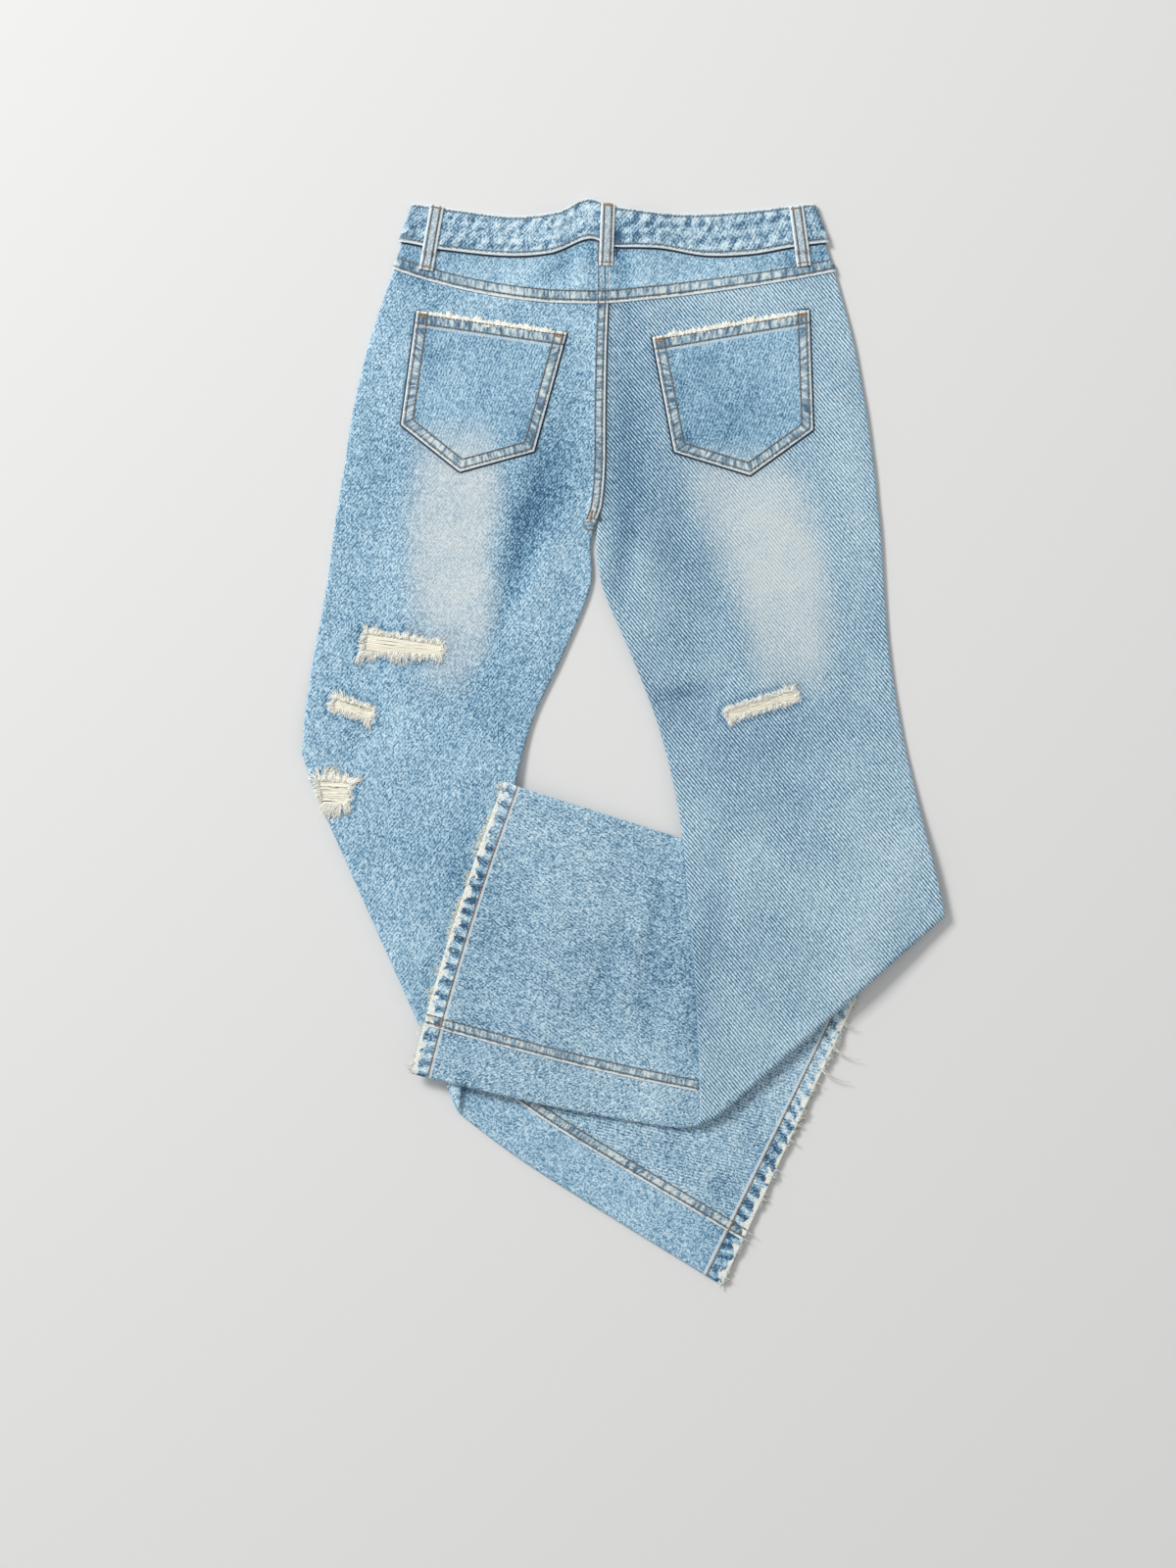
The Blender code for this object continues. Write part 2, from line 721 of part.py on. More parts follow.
def make_button(metal):
    """The waist button, lying under the closed ends of the waistband."""
    solid = bmesh.new()
    bmesh.ops.create_cone(
        solid, cap_ends=True, segments=20, depth=BUTTON_HEIGHT * MM,
        radius1=BUTTON_RADIUS * 0.9 * MM, radius2=BUTTON_RADIUS * MM,
    )
    where = waist_point(CENTRE_FRONT, 0.5)
    middle = Vector((*where, BUTTON_HEIGHT / 2)) * MM
    bmesh.ops.translate(solid, verts=solid.verts[:], vec=middle)
    make_object("waist_button", solid, metal)


def build_jeans():
    for old in list(bpy.data.objects):
        bpy.data.objects.remove(old, do_unlink=True)
    denim = make_material("washed_denim", (0.30, 0.46, 0.57), 0.9)
    pale_denim = make_material("pale_denim", (0.34, 0.50, 0.60), 0.9)
    thread = make_material("frayed_thread", (0.78, 0.76, 0.66), 0.95)
    metal = make_material("button_metal", (0.45, 0.40, 0.34), 0.4)
    for name, leg in LEGS.items():
        inner_gap = SEAM if name == "right" else 0.0
        make_back_leg(name, leg, inner_gap, denim, thread)
        make_front_leg(name, leg, inner_gap, denim)
        make_hem_fringe(name, leg, thread)
        make_yoke(name, leg, inner_gap, pale_denim)
        make_pocket(name, POCKETS[name], denim)
    make_waistband(pale_denim)
    for name, (top, bottom) in LOOPS.items():
        make_belt_loop(name, top, bottom, pale_denim)
    make_fly_shield(denim)
    make_button(metal)


build_jeans()
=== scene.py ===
"""Ripped flared jeans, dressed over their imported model.

Lengths are in millimetres and become metres as each mesh is made. A leg is drawn
straight first, as a flattened tube about its middle plane, and is then folded under.
"""
import math
from collections import namedtuple

import bmesh
import bpy
import numpy as np
from mathutils.bvhtree import BVHTree
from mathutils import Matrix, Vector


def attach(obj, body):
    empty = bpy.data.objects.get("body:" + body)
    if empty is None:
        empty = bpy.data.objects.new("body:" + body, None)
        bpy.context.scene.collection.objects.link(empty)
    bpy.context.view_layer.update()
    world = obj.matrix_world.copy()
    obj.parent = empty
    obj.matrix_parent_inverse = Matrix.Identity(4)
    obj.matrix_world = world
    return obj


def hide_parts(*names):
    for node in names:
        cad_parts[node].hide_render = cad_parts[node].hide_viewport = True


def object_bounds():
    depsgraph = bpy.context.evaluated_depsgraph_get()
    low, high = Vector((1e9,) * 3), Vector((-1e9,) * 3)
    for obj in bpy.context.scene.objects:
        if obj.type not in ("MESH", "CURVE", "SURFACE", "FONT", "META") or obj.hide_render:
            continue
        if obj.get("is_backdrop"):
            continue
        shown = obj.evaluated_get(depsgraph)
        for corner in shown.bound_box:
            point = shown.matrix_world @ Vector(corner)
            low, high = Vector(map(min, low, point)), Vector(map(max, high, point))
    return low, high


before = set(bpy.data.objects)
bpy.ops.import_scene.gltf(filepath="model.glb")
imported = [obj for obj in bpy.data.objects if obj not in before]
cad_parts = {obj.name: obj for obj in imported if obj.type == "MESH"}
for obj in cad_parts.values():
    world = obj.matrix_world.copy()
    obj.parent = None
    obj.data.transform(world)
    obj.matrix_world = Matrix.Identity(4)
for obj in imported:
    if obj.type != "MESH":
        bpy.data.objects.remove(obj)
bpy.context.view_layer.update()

MM = 0.001

# Cloth and seams, as in the solids
CLOTH = 1.2              # one layer of denim
SEAM = 0.3               # gap between two pieces that are sewn together
LAP = CLOTH + SEAM       # how far a piece rises where it lies over the next one
HALF = 2.2               # from the middle plane of a flattened leg to its outer face
STACK = 5.4              # between the middle planes of two legs that lie on each other
FOLD_RADIUS = STACK / 2
EDGE_GAP_ANGLE = 5.4     # half the gap between two panels, seen from the middle of an edge
FOOTPRINT_MARGIN = 15.0  # a leg keeps its full height this far beyond the leg beneath it
SETTLE = 110.0           # and comes down to the floor over this distance

# Waistband, loops, button and fly
CENTRE_FRONT = -18.0
BAND = 2.0               # doubled cloth of the waistband
BAND_HEIGHT = 34.0
BAND_UNDERLAP = 0.24     # share of the band's height that covers the yokes' top edges
BAND_LAP_END = 0.28      # and where the band begins to fall towards its free edge
BAND_TOP_DROP = 0.9      # the band's free edge lies this much lower
BAND_SIDE_INSET = 0.15   # from the yoke's side edge to the centre of the band's side bend
BAND_OVERLAP = 22.0      # each end of the band passes the centre front by this much
YOKE_FLAT_END = 0.58     # shares of a yoke's depth: it starts to rise over the back panel,
YOKE_LAP_START = 0.74    # lies at full height over it,
YOKE_UNDERLAP = 0.78     # and covers the panel's top edge from here down
PUCKER = 3.9             # the back rises over the closed waistband ends
PUCKER_FLAT = 30.0       # fully within this distance of the centre front,
PUCKER_FADE = 55.0       # and less and less over this distance beyond it
PUCKER_FOOT = 372.0      # the rise starts this high up the back
LOOP_WIDTH = 12.5
LOOP_CLOTH = 1.6
LOOP_CROWN = 0.4         # the loop's middle stands this much higher
LOOP_STIFFNESS = 5.0     # a loop bridges steps in what it lies on over this length
BUTTON_RADIUS = 8.5
BUTTON_HEIGHT = 1.6
FLY_EDGE = -20.0         # x of the fly shield's sewn edge
FLY_WIDTH = 42.0
FLY_LENGTH = 150.0
POCKET_TOP = 2 * HALF + LAP     # height of a pocket's outer face, before the pucker
ROUND_POCKET = 62.0      # a circle of this radius is about as long as a pocket's outline
OVER_LOOPS = 9.0         # a height clear of the loops, from which their stitches come down

# Hems, yarns and threads
HEM_TURN = 17.0          # depth of the turned hem
HEM_ROW = 14.0           # its stitching, above the edge
SEAT_ROWS = (2.9, 8.8)   # the two rows of stitches along each seam, from its edge
INSEAM_ROWS = (2.9, 9.6)
YOKE_ROWS = (3.2, 10.8)
POCKET_SIDE_ROWS = (2.9, 9.8)
POCKET_MOUTH_ROWS = (3.0, 11.0)
BAND_ROWS = (3.1, BAND_HEIGHT - 2.5)
UNDER = 0.3              # how far a thread may hang below the cloth that lies on the floor
TWILL_PITCH = 2.6        # from one diagonal of the weave to the next
YARN = 1.1               # width of a yarn in the weave
FLOAT = 1.4              # and its length on the surface
WEFT_PITCH = 0.38        # from one weft thread in a rip to the next
TUFT_PITCH = 1.6         # from one tuft of a frayed edge to the next
TACK_PITCH = 0.62        # from one stitch of a bar tack to the next

# The nets that the cloth is modelled on
ROW_STEP = 4.0           # between lines across a leg
COLUMN_STEP = 3.2        # between lines down a leg
FOLD_STRIPS = 12         # facets round a fold
# Distances from an edge of the lines beside it
NEAR_EDGE = (0.0, 0.5, 1.1, 2.0, 3.4, 5.0, 6.8, 8.4, 9.4, 10.6, 12.5)
FAR = 60.0               # a measure for somewhere well away from a seam
# Angles round a leg's edge, from the middle of the edge: 90 is straight up
OUTER_BEND = (180 - EDGE_GAP_ANGLE, 156, 133, 111)
INNER_BEND = (67.5, 45, 22.5, 0, -22.5, -45, -67.5, -90)


# Height of the waistband's seam and of its free edge at places across the back
SEAM_LINE = (
    # x, y
    (-195, 443), (-164, 437), (-105, 431), (-62, 433), (-29, 445), (-9, 438.5),
    (35, 437), (75, 431), (115, 432.5), (150, 438.5), (180, 442.5),
)
CREST_LINE = (
    # x, y
    (-183, 477), (-148, 472), (-95, 466), (-55, 470), (-31, 481), (-10, 474.5),
    (45, 468), (105, 470.5), (168, 477),
)

# Lines across each straight leg, from its outer edge to its inner edge. sag is how far
# the line bows down at its middle, and seam_in is how far the inseam lies round on the
# front of the leg from its inner edge. The first row is the yoke seam.
Section = namedtuple("Section", "outer_x outer_y inner_x inner_y sag seam_in")
CROTCH = 6
LEFT_SECTIONS = (
    Section(-202, 419, -12.5, 389, 9.5, 6),
    Section(-223, 358, -14, 350, 4, 6),
    Section(-237, 301, -15, 297, 1, 6),
    Section(-246, 245, -15.5, 243, 0, 6),
    Section(-251, 214, -18, 214, 0, 6),
    Section(-252.5, 205, -20, 205, 0, 6),
    Section(-254, 197, -23, 197, 0, 6),
    Section(-257, 172, -28, 176, 0, 8),
    Section(-262, 137, -28.5, 137, 0, 12),
    Section(-273, 77, -54, 75, 0, 19),
    Section(-283, 14, -82, 12, 0, 26),
    Section(-304, -75, -106, -90, 0, 33),
    Section(-337, -172, -125, -190, 0, 38),
    Section(-372, -275, -141, -300, 0, 40),
    Section(-408, -382, -151, -405, 0, 41),
    Section(-454.6, -520.5, -185.3, -601.5, 0, 44),
)
RIGHT_SECTIONS = (
    Section(188, 417, -12.5, 389, 3, 6),
    Section(204, 358, -14, 350, 2, 6),
    Section(215, 301, -15, 297, 1, 6),
    Section(223, 245, -15.5, 243, 0, 6),
    Section(226, 214, -18, 214, 0, 6),
    Section(227, 205, -20, 205, 0, 6),
    Section(228, 197, -21, 197, 0, 6),
    Section(230, 172, -23, 176, 0, 8),
    Section(232, 137, -17, 137, 0, 11),
    Section(237, 77, 9, 75, 0, 16),
    Section(247, 14, 33, 12, 0, 22),
    Section(264, -62, 50, -62, 0, 27),
    Section(283, -140, 58, -142, 0, 30),
    Section(298, -240, 66, -248, 0, 32),
    Section(315, -340, 69, -350, 0, 35),
    Section(332, -435, 73.5, -460, 0, 40),
    Section(353.6, -553.4, 88.4, -602.3, 4.5, 45),
)

# Corners of each rip on its straight leg, anticlockwise
LEFT_RIPS = {
    "thigh": ((-227.5, 99.5), (-230.5, 79.5), (-160, 76), (-157.5, 88.5)),
    "knee": ((-253, 41.5), (-258.5, 31), (-222.5, 19.5), (-218.5, 30.5)),
    "fold": ((-271, -31), (-265, -55), (-242, -56), (-239, -33)),
}
RIGHT_RIPS = {
    "knee": ((90.5, 29.5), (93, 20), (156, 38.5), (152.5, 49)),
}

POCKETS = {
    # top outer, top inner, bottom inner, tip, bottom outer
    "left": ((-181.5, 382.5), (-49, 363), (-78, 258), (-143.5, 240), (-195.5, 281.5)),
    "right": ((165, 383), (26.5, 359), (46, 257.5), (113, 237), (168.5, 277)),
}
LOOPS = {
    # top and bottom of each loop's centre line
    "left": ((-163.5, 475), (-173.5, 418)),
    "centre": ((-12.5, 476), (-14.5, 421.5)),
    "right": ((153.5, 474.5), (160.5, 421.5)),
}

# Where each leg lies, as the ground covered by its lower and upper part
LEFT_SHIN = ((-283, -10), (-143, -335), (90, -482), (204, -224))
RIGHT_SHIN = ((284, -140), (-106, -33), (-187, -291), (73, -339))
LEFT_THIGH = ((-262, 137), (-283, -10), (-143, -335), (-34, 120))


# Creases and swells of the upper side, as it lies: middle, the way it runs, its length,
# width, how far it bows sideways, and its rise
CREASES = (
    # x, y, angle, length, width, bow, rise
    (-89, 182, 73, 185, 13, -4, -2.1),      # trough below the left pocket's inner corner
    (-64, 166, 63, 130, 14, -3, 2.1),       # the ridge beside it
    (-120, 120, 76, 150, 16, 4, 0.6),
    (-8, 250, 90, 230, 9, 1, -0.9),         # dip along the right of the seat seam
    (24, 222, 84, 190, 18, -6, 1.3),        # swell of the right inner thigh
    (2, 165, 80, 70, 10, 2, -0.9),
    (48, 180, 78, 140, 12, 5, -0.7),
    (62, 43, 8, 70, 9, 2, -0.9),            # short creases on the right knee
    (70, 66, 12, 60, 10, 2, 0.6),
    (150, -40, 100, 190, 22, 8, -0.7),
    (215, -160, 60, 170, 20, -6, 0.8),
    (130, -250, 52, 190, 16, 4, -0.6),
    (-200, 60, 80, 120, 14, 5, 0.6),
    (-235, 0, 62, 90, 10, 3, -0.6),
    (-190, -120, 68, 190, 16, -5, 0.6),
    (-160, -190, 66, 150, 12, 4, -0.6),
    (30, -150, 82, 170, 9, -5, -1.1),       # fan of creases beside the right leg's edge
    (8, -190, 74, 150, 9, -5, 1.0),
    (-20, -205, 66, 130, 9, -3, -0.8),
    (-70, -120, 100, 150, 18, 6, 0.5),
    (-120, -170, 20, 70, 9, 2, -0.6),
    (40, -395, -34, 170, 13, 3, 0.6),
    (75, -330, 50, 110, 12, 3, -0.6),
    (-60, -330, -32, 120, 12, 2, 0.5),
    (-34, 428, 82, 95, 9, -2, 1.3),         # drag lines from the lifted waist
    (-54, 420, 66, 80, 8, 2, -1.0),
    (0, 420, 96, 80, 8, 2, -1.0),
    (18, 410, 105, 80, 9, 3, 0.7),
    (-92, 398, 12, 120, 9, 4, 0.5),
    (70, 404, -8, 120, 9, -4, 0.5),
    (-205, 380, 75, 90, 9, 2, 0.5),
    (196, 385, 105, 80, 8, 2, 0.5),
    (-205, 290, 84, 160, 13, 2, 0.5),
    (200, 260, 96, 200, 13, 2, 0.5),
)

# Faded thighs: middle, half width and strength at heights down each leg
FADES = (
    (
        # y, x, half width, strength
        (292, -146, 30, 0.0), (270, -146, 34, 0.45), (246, -146, 36, 0.8), (200, -148, 36, 0.95),
        (150, -150, 35, 0.9), (110, -150, 33, 0.8), (78, -150, 28, 0.55),
        (56, -156, 22, 0.35), (34, -158, 18, 0.0),
    ),
    (
        (268, 92, 30, 0.0), (250, 100, 42, 0.35), (228, 110, 50, 0.75), (190, 124, 46, 0.95),
        (150, 136, 42, 0.95), (110, 146, 37, 0.85), (80, 150, 33, 0.7), (58, 154, 30, 0.45),
        (36, 158, 26, 0.0),
    ),
)

# Places painted darker, below 0, or paler, as they lie: partly deeper or washed-out dye, and partly painted
# shade and light along the creases, in the waist's puckers and where one leg lies over another
TINTS_AND_PAINTED_SHADE = (
    # x, y, angle, half length, half width, change
    (-27, 441, 80, 16, 9, -1.5), (-4, 436, 100, 16, 8, -1.6), (-17, 391, 90, 12, 7, -1.0),
    (-177, 418, 90, 12, 9, -1.2), (-150, 428, 100, 13, 7, -0.9), (-192, 425, 90, 14, 7, -0.8),
    (149, 425, 90, 14, 8, -1.3), (171, 424, 80, 14, 8, -1.0), (-52, 424, 40, 26, 8, -0.7),
    (-175, 370, 0, 10, 8, -1.2), (-57, 352, 0, 10, 8, -1.0), (-170, 345, 90, 30, 6, -0.5),
    (33, 350, 0, 10, 8, -1.0), (158, 372, 0, 10, 8, -1.1), (-186, 290, 90, 12, 8, -0.8),
    (56, 268, 60, 12, 8, -1.2), (48, 300, 80, 26, 6, -0.7), (163, 290, 90, 14, 6, -0.8),
    (-85, 275, 75, 14, 7, -0.9), (90, 330, 5, 50, 22, -0.15), (-118, 340, 0, 45, 16, -0.2),
    (2, 300, 88, 110, 10, -0.85), (8, 220, 86, 70, 15, -0.9), (0, 160, 84, 40, 8, -0.6),
    (-24, 250, 88, 120, 5, 0.35), (-84, 190, 73, 80, 14, -0.75), (-56, 160, 63, 60, 12, 0.45),
    (-118, 30, 80, 90, 30, 0.1), (-205, 190, 84, 100, 12, 0.25), (205, 240, 94, 120, 14, 0.35),
    (-230, 110, 82, 60, 18, -0.15), (-150, -60, 74, 160, 40, -0.2), (-255, 60, 82, 40, 8, 0.2),
    (130, 0, 20, 55, 22, -0.5), (90, -60, 90, 90, 26, -0.25), (70, 160, 80, 100, 16, -0.4),
    (215, -110, 70, 90, 30, 0.1), (180, -230, 52, 90, 26, 0.45), (140, -200, 50, 60, 30, 0.35),
    (45, 43, 8, 26, 7, -0.7), (64, -230, 80, 140, 12, -0.8), (40, -180, 76, 90, 9, -0.35),
    (-158, -238, 20, 12, 9, 0.7), (-149, -255, 0, 8, 5, -1.2), (-20, -262, -16, 100, 9, 0.3),
    (-90, -290, -14, 90, 12, 0.5), (-135, -70, 72, 60, 10, -0.35), (125, -345, -52, 60, 16, -0.3),
    (-140, -305, 90, 16, 12, -1.0), (-148, -308, -68, 16, 4, 1.6), (70, -410, -34, 90, 10, 0.5),
    (-50, -350, -33, 90, 16, 0.35), (10, -373, -33, 10, 6, -1.2), (68, -411, -33, 10, 6, -1.2),
    (92, -434, -33, 12, 7, -1.3), (-40, -345, -33, 14, 6, -0.9), (105, -430, -60, 60, 12, -0.35),
    (-62, 190, 70, 60, 26, -1.15), (-112, 417, 0, 50, 12, 0.35), (25, 205, 96, 80, 26, -1.15),
    (190, -140, 50, 60, 34, 0.35), (105, -275, 60, 50, 16, 0.3), (110, -345, 40, 60, 26, 0.45),
    (26, 300, 90, 60, 14, -0.65), (-100, 395, 10, 60, 9, 0.5), (60, 398, -8, 60, 10, 0.45),
    (120, 410, -8, 30, 9, 0.3), (-28, -398, -33, 60, 18, 0.45), (60, -325, -35, 50, 20, 0.25),
)

# Long loose threads at the hems: leg, place from the outer edge, length, lean
STRAYS = (
    ("left", 0.085, 11, 0.5), ("left", 0.09, 8, 0.9), ("left", 0.165, 24, 0.75),
    ("left", 0.17, 17, 0.9), ("left", 0.175, 11, 0.4), ("left", 0.245, 26, 0.55),
    ("left", 0.25, 18, 0.9), ("left", 0.255, 12, 0.3), ("left", 0.30, 6, -0.8), ("left", 0.49, 6, 0.8),
    ("left", 0.50, 7, -0.4), ("left", 0.60, 5, -0.5), ("left", 0.82, 8, -0.7), ("left", 0.835, 6, 0.5),
    ("left", 0.97, 5, 0.6), ("right", 0.02, 6, 0.6), ("right", 0.08, 9, 0.8), ("right", 0.31, 8, -0.3),
    ("right", 0.60, 11, 0.35), ("right", 0.63, 6, -0.7), ("right", 0.97, 10, -0.6),
    ("right", 0.99, 8, 0.7),
)

# How far the frayed warp reaches into each rip, at its top, foot, right and left
FRINGE = {
    ("left", "thigh"): (4.6, 5.2, 2.6, 4.4), ("left", "knee"): (4.4, 4.8, 3.0, 4.0),
    ("left", "fold"): (7.0, 8.0, 3.2, 4.4), ("right", "knee"): (3.8, 3.8, 2.6, 3.2),
}

# Bushy tufts round each rip: side, share along it, reach and lean.
# Side 0 is the top from the left, 1 the foot from the right, 2 the right from the top and
# 3 the left from the foot.
TUFTS = {
    ("left", "thigh"): (
        (0, 0.02, 8.5, 0.3), (0, 0.07, 8.0, -0.3), (0, 0.14, 6.0, 0.2), (0, 0.44, 6.0, 0.5),
        (0, 0.52, 7.5, 0.0), (0, 0.60, 7.5, -0.4), (0, 0.68, 6.5, -0.7), (0, 0.92, 5.0, -0.5),
        (1, 0.99, 13.0, -0.75), (1, 0.93, 12.0, -0.6), (1, 0.86, 11.0, -0.55), (1, 0.80, 9.5, -0.4),
        (1, 0.64, 9.5, 0.5), (1, 0.57, 11.0, 0.6), (1, 0.50, 10.0, -0.4), (1, 0.43, 11.0, -0.3),
        (1, 0.36, 8.0, 0.6), (1, 0.24, 6.0, -0.4), (1, 0.10, 7.0, 0.6), (1, 0.03, 7.0, 0.7),
        (3, 0.25, 6.0, -0.5), (3, 0.75, 7.0, 0.3), (2, 0.5, 4.0, 0.3)),
    ("left", "knee"): (
        (0, 0.04, 8.0, 0.4), (0, 0.16, 7.0, -0.2), (0, 0.45, 5.5, 0.3), (0, 0.8, 5.0, -0.4),
        (1, 0.02, 9.5, -0.1), (1, 0.10, 8.0, -0.0), (1, 0.4, 5.5, -0.3), (1, 0.8, 6.0, -0.6),
        (3, 0.3, 6.0, 0.2), (3, 0.8, 6.0, -0.3), (2, 0.4, 4.5, -0.2)),
    ("left", "fold"): (
        (0, 0.02, 11.0, 0.9), (0, 0.14, 13.0, 0.55), (0, 0.26, 13.5, 0.25), (0, 0.38, 13.0, 0.1),
        (0, 0.50, 12.0, -0.3), (0, 0.64, 10.0, 0.3), (0, 0.76, 11.0, -0.5), (0, 0.90, 12.0, -1.1),
        (0, 0.98, 13.0, -1.3), (1, 1.0, 15.0, -0.9), (1, 0.9, 16.0, -0.65), (1, 0.78, 14.0, -0.5),
        (1, 0.66, 13.0, -0.3), (1, 0.54, 12.0, -0.5), (1, 0.42, 11.0, 0.2), (1, 0.28, 12.0, -0.3),
        (1, 0.12, 9.0, 0.2), (2, 0.3, 5.0, 0.4), (2, 0.7, 4.5, -0.3), (3, 0.4, 5.0, 0.0)),
    ("right", "knee"): (
        (0, 0.08, 4.5, 0.4), (0, 0.5, 5.0, -0.3), (0, 0.88, 6.5, 0.2), (0, 0.96, 6.0, -0.3),
        (1, 0.97, 6.5, -0.3), (1, 0.6, 5.0, -0.4), (1, 0.2, 5.0, 0.3), (2, 0.6, 5.0, 0.3)),
}


# ---------------------------------------------------------------- arithmetic on places

def smooth(t):
    """Ease from 0 to 1."""
    t = np.clip(t, 0.0, 1.0)
    return t * t * (3 - 2 * t)


def places(*parts):
    """Places from their coordinates, each of them an array or one number."""
    return np.stack(np.broadcast_arrays(*parts), -1)


def unit(way):
    """The same way, one long."""
    return way / np.maximum(np.linalg.norm(way, axis=-1, keepdims=True), 1e-9)


def left_of(way):
    """A way turned a quarter to its left."""
    return places(-way[..., 1], way[..., 0])


def between(start, end, share):
    """Places at shares of the way from start to end."""
    start, end = np.asarray(start, float), np.asarray(end, float)
    return start + (end - start) * np.asarray(share)[..., None]


def run_along(path):
    """How far along a path each of its points is."""
    return np.concatenate([[0], np.cumsum(np.linalg.norm(np.diff(path, axis=0), axis=1))])


def along_and_across(x, y, middle_x, middle_y, angle):
    """How far places lie along a line through a middle, and to the left of it."""
    c, s = math.cos(math.radians(angle)), math.sin(math.radians(angle))
    x, y = x - middle_x, y - middle_y
    return x * c + y * s, y * c - x * s


def within(outline, x, y):
    """Which places lie inside an outline."""
    inside = np.zeros(np.shape(x), bool)
    for (a_x, a_y), (b_x, b_y) in zip(outline, np.roll(outline, -1, axis=0)):
        if a_y != b_y:
            crosses = (a_y > y) != (b_y > y)
            inside ^= crosses & (x < (b_x - a_x) * (y - a_y) / (b_y - a_y) + a_x)
    return inside


def distance_to(outline, x, y, closed=True):
    """Distance from places to an outline."""
    nearest = np.full(np.shape(x), np.inf)
    ends = np.roll(outline, -1, axis=0)
    for (a_x, a_y), (b_x, b_y) in zip(outline, ends if closed else ends[:-1]):
        side_x, side_y = b_x - a_x, b_y - a_y
        share = ((x - a_x) * side_x + (y - a_y) * side_y) / max(side_x ** 2 + side_y ** 2, 1e-9)
        share = np.clip(share, 0, 1)
        nearest = np.minimum(nearest, np.hypot(x - a_x - share * side_x, y - a_y - share * side_y))
    return nearest


def hum(x, y, size, seed):
    """Smooth, seeded unevenness of about -1 to 1."""
    draw = np.random.default_rng(seed)
    total = 0.0
    for _ in range(9):
        turn, phase = draw.uniform(0, 2 * math.pi, 2)
        length = size * draw.uniform(0.7, 1.7)
        total = total + np.sin((x * math.cos(turn) + y * math.sin(turn)) * 2 * math.pi / length + phase)
    return total / 3


def through(before, start, end, after, t):
    """A smooth curve's value between start and end."""
    slope = end - before + t * (2 * before - 5 * start + 4 * end - after
                                + t * (3 * (start - end) + after - before))
    return start + 0.5 * t * slope


def curve(table, v):
    """Smooth values between the rows of a table, at row number v."""
    table = np.asarray(table, float)
    last = len(table) - 1
    i = np.clip(np.floor(v).astype(int), 0, last - 1)
    t = (np.asarray(v) - i)[..., None]
    return through(table[np.maximum(i - 1, 0)], table[i], table[i + 1],
                   table[np.minimum(i + 2, last)], t)


# ---------------------------------------------------------------- the lie of the cloth

def lifted_by(outline, x, y):
    """1 over another leg, easing to 0 beyond its edge."""
    off = np.where(within(outline, x, y), 0.0, distance_to(outline, x, y))
    return smooth(1 - (off - FOOTPRINT_MARGIN) / SETTLE)


# Height of the middle plane of each part of a leg, as it lies

def left_lower(x, y):
    return HALF + 0 * x


def left_upper(x, y):
    return HALF + STACK * lifted_by(LEFT_SHIN, x, y)


def right_lower(x, y):
    return HALF + STACK * (lifted_by(LEFT_SHIN, x, y) + lifted_by(LEFT_THIGH, x, y))


def right_upper(x, y):
    return right_lower(x, y) + STACK * lifted_by(RIGHT_SHIN, x, y)


def pucker(x, y):
    """Rise of the back over the closed ends of the waistband."""
    across = smooth(1 - (abs(x - CENTRE_FRONT) - PUCKER_FLAT) / PUCKER_FADE)
    return PUCKER * across * smooth((y - PUCKER_FOOT) / PUCKER_FADE)


def crease_height(x, y):
    """Rise of the cloth's upper side along the creases and swells."""
    height = 0.28 * hum(x, y, 95, 3) + 0.1 * hum(x, y, 34, 4)
    for middle_x, middle_y, angle, length, width, bow, rise in CREASES:
        along, across = along_and_across(x, y, middle_x, middle_y, angle)
        along = along / (length / 2)
        across = (across - bow * along ** 2) / width
        height = height + rise * np.exp(-across ** 2 - along ** 4)
    return height


def settled(points):
    """The same points, with the creases in what lies clear of the floor."""
    x, y, z = points.T
    return places(x, y, z + crease_height(x, y) * smooth(z / (2 * HALF)))


def faded(x, y):
    """How far the cloth is washed out to grey white, 0 to 1."""
    most = np.zeros(np.shape(x))
    for leg in FADES:
        heights, *columns = np.array(leg[::-1]).T
        middle, half_width, strength = (np.interp(y, heights, column) for column in columns)
        off = abs(x + 3 * hum(x, y, 60, 61) - middle) / half_width
        most = np.maximum(most, strength * smooth(1.45 - off))
    return most


def dye_and_painted_shade(x, y):
    """Darker below 0 and paler above: painted light on the tops of the creases and painted shade in their
    troughs, an uneven tone, and the tints of the table, partly dye and partly painted shade.
    """
    total = 0.35 * crease_height(x, y) + 0.22 * hum(x, y, 150, 71)
    for middle_x, middle_y, angle, half_length, half_width, change in TINTS_AND_PAINTED_SHADE:
        along, across = along_and_across(x, y, middle_x, middle_y, angle)
        total = total + change * np.exp(-(along / half_length) ** 2 - (across / half_width) ** 2)
    return total


def height_on(line, x):
    """Height of a waist line at x."""
    line_x, line_y = np.array(line, float).T
    return curve(line_y[:, None], np.interp(x, line_x, range(len(line_x))))[..., 0]


def waist_point(x, level):
    """A point of the waistband, from its seam, level 0, to its free edge, level 1."""
    x, level = np.broadcast_arrays(np.asarray(x, float), level)
    share = (x - SEAM_LINE[0][0]) / (SEAM_LINE[-1][0] - SEAM_LINE[0][0])
    crest_x = CREST_LINE[0][0] + share * (CREST_LINE[-1][0] - CREST_LINE[0][0])
    seam_y, crest_y = height_on(SEAM_LINE, x), height_on(CREST_LINE, crest_x)
    return places(x + (crest_x - x) * level, seam_y + (crest_y - seam_y) * level)


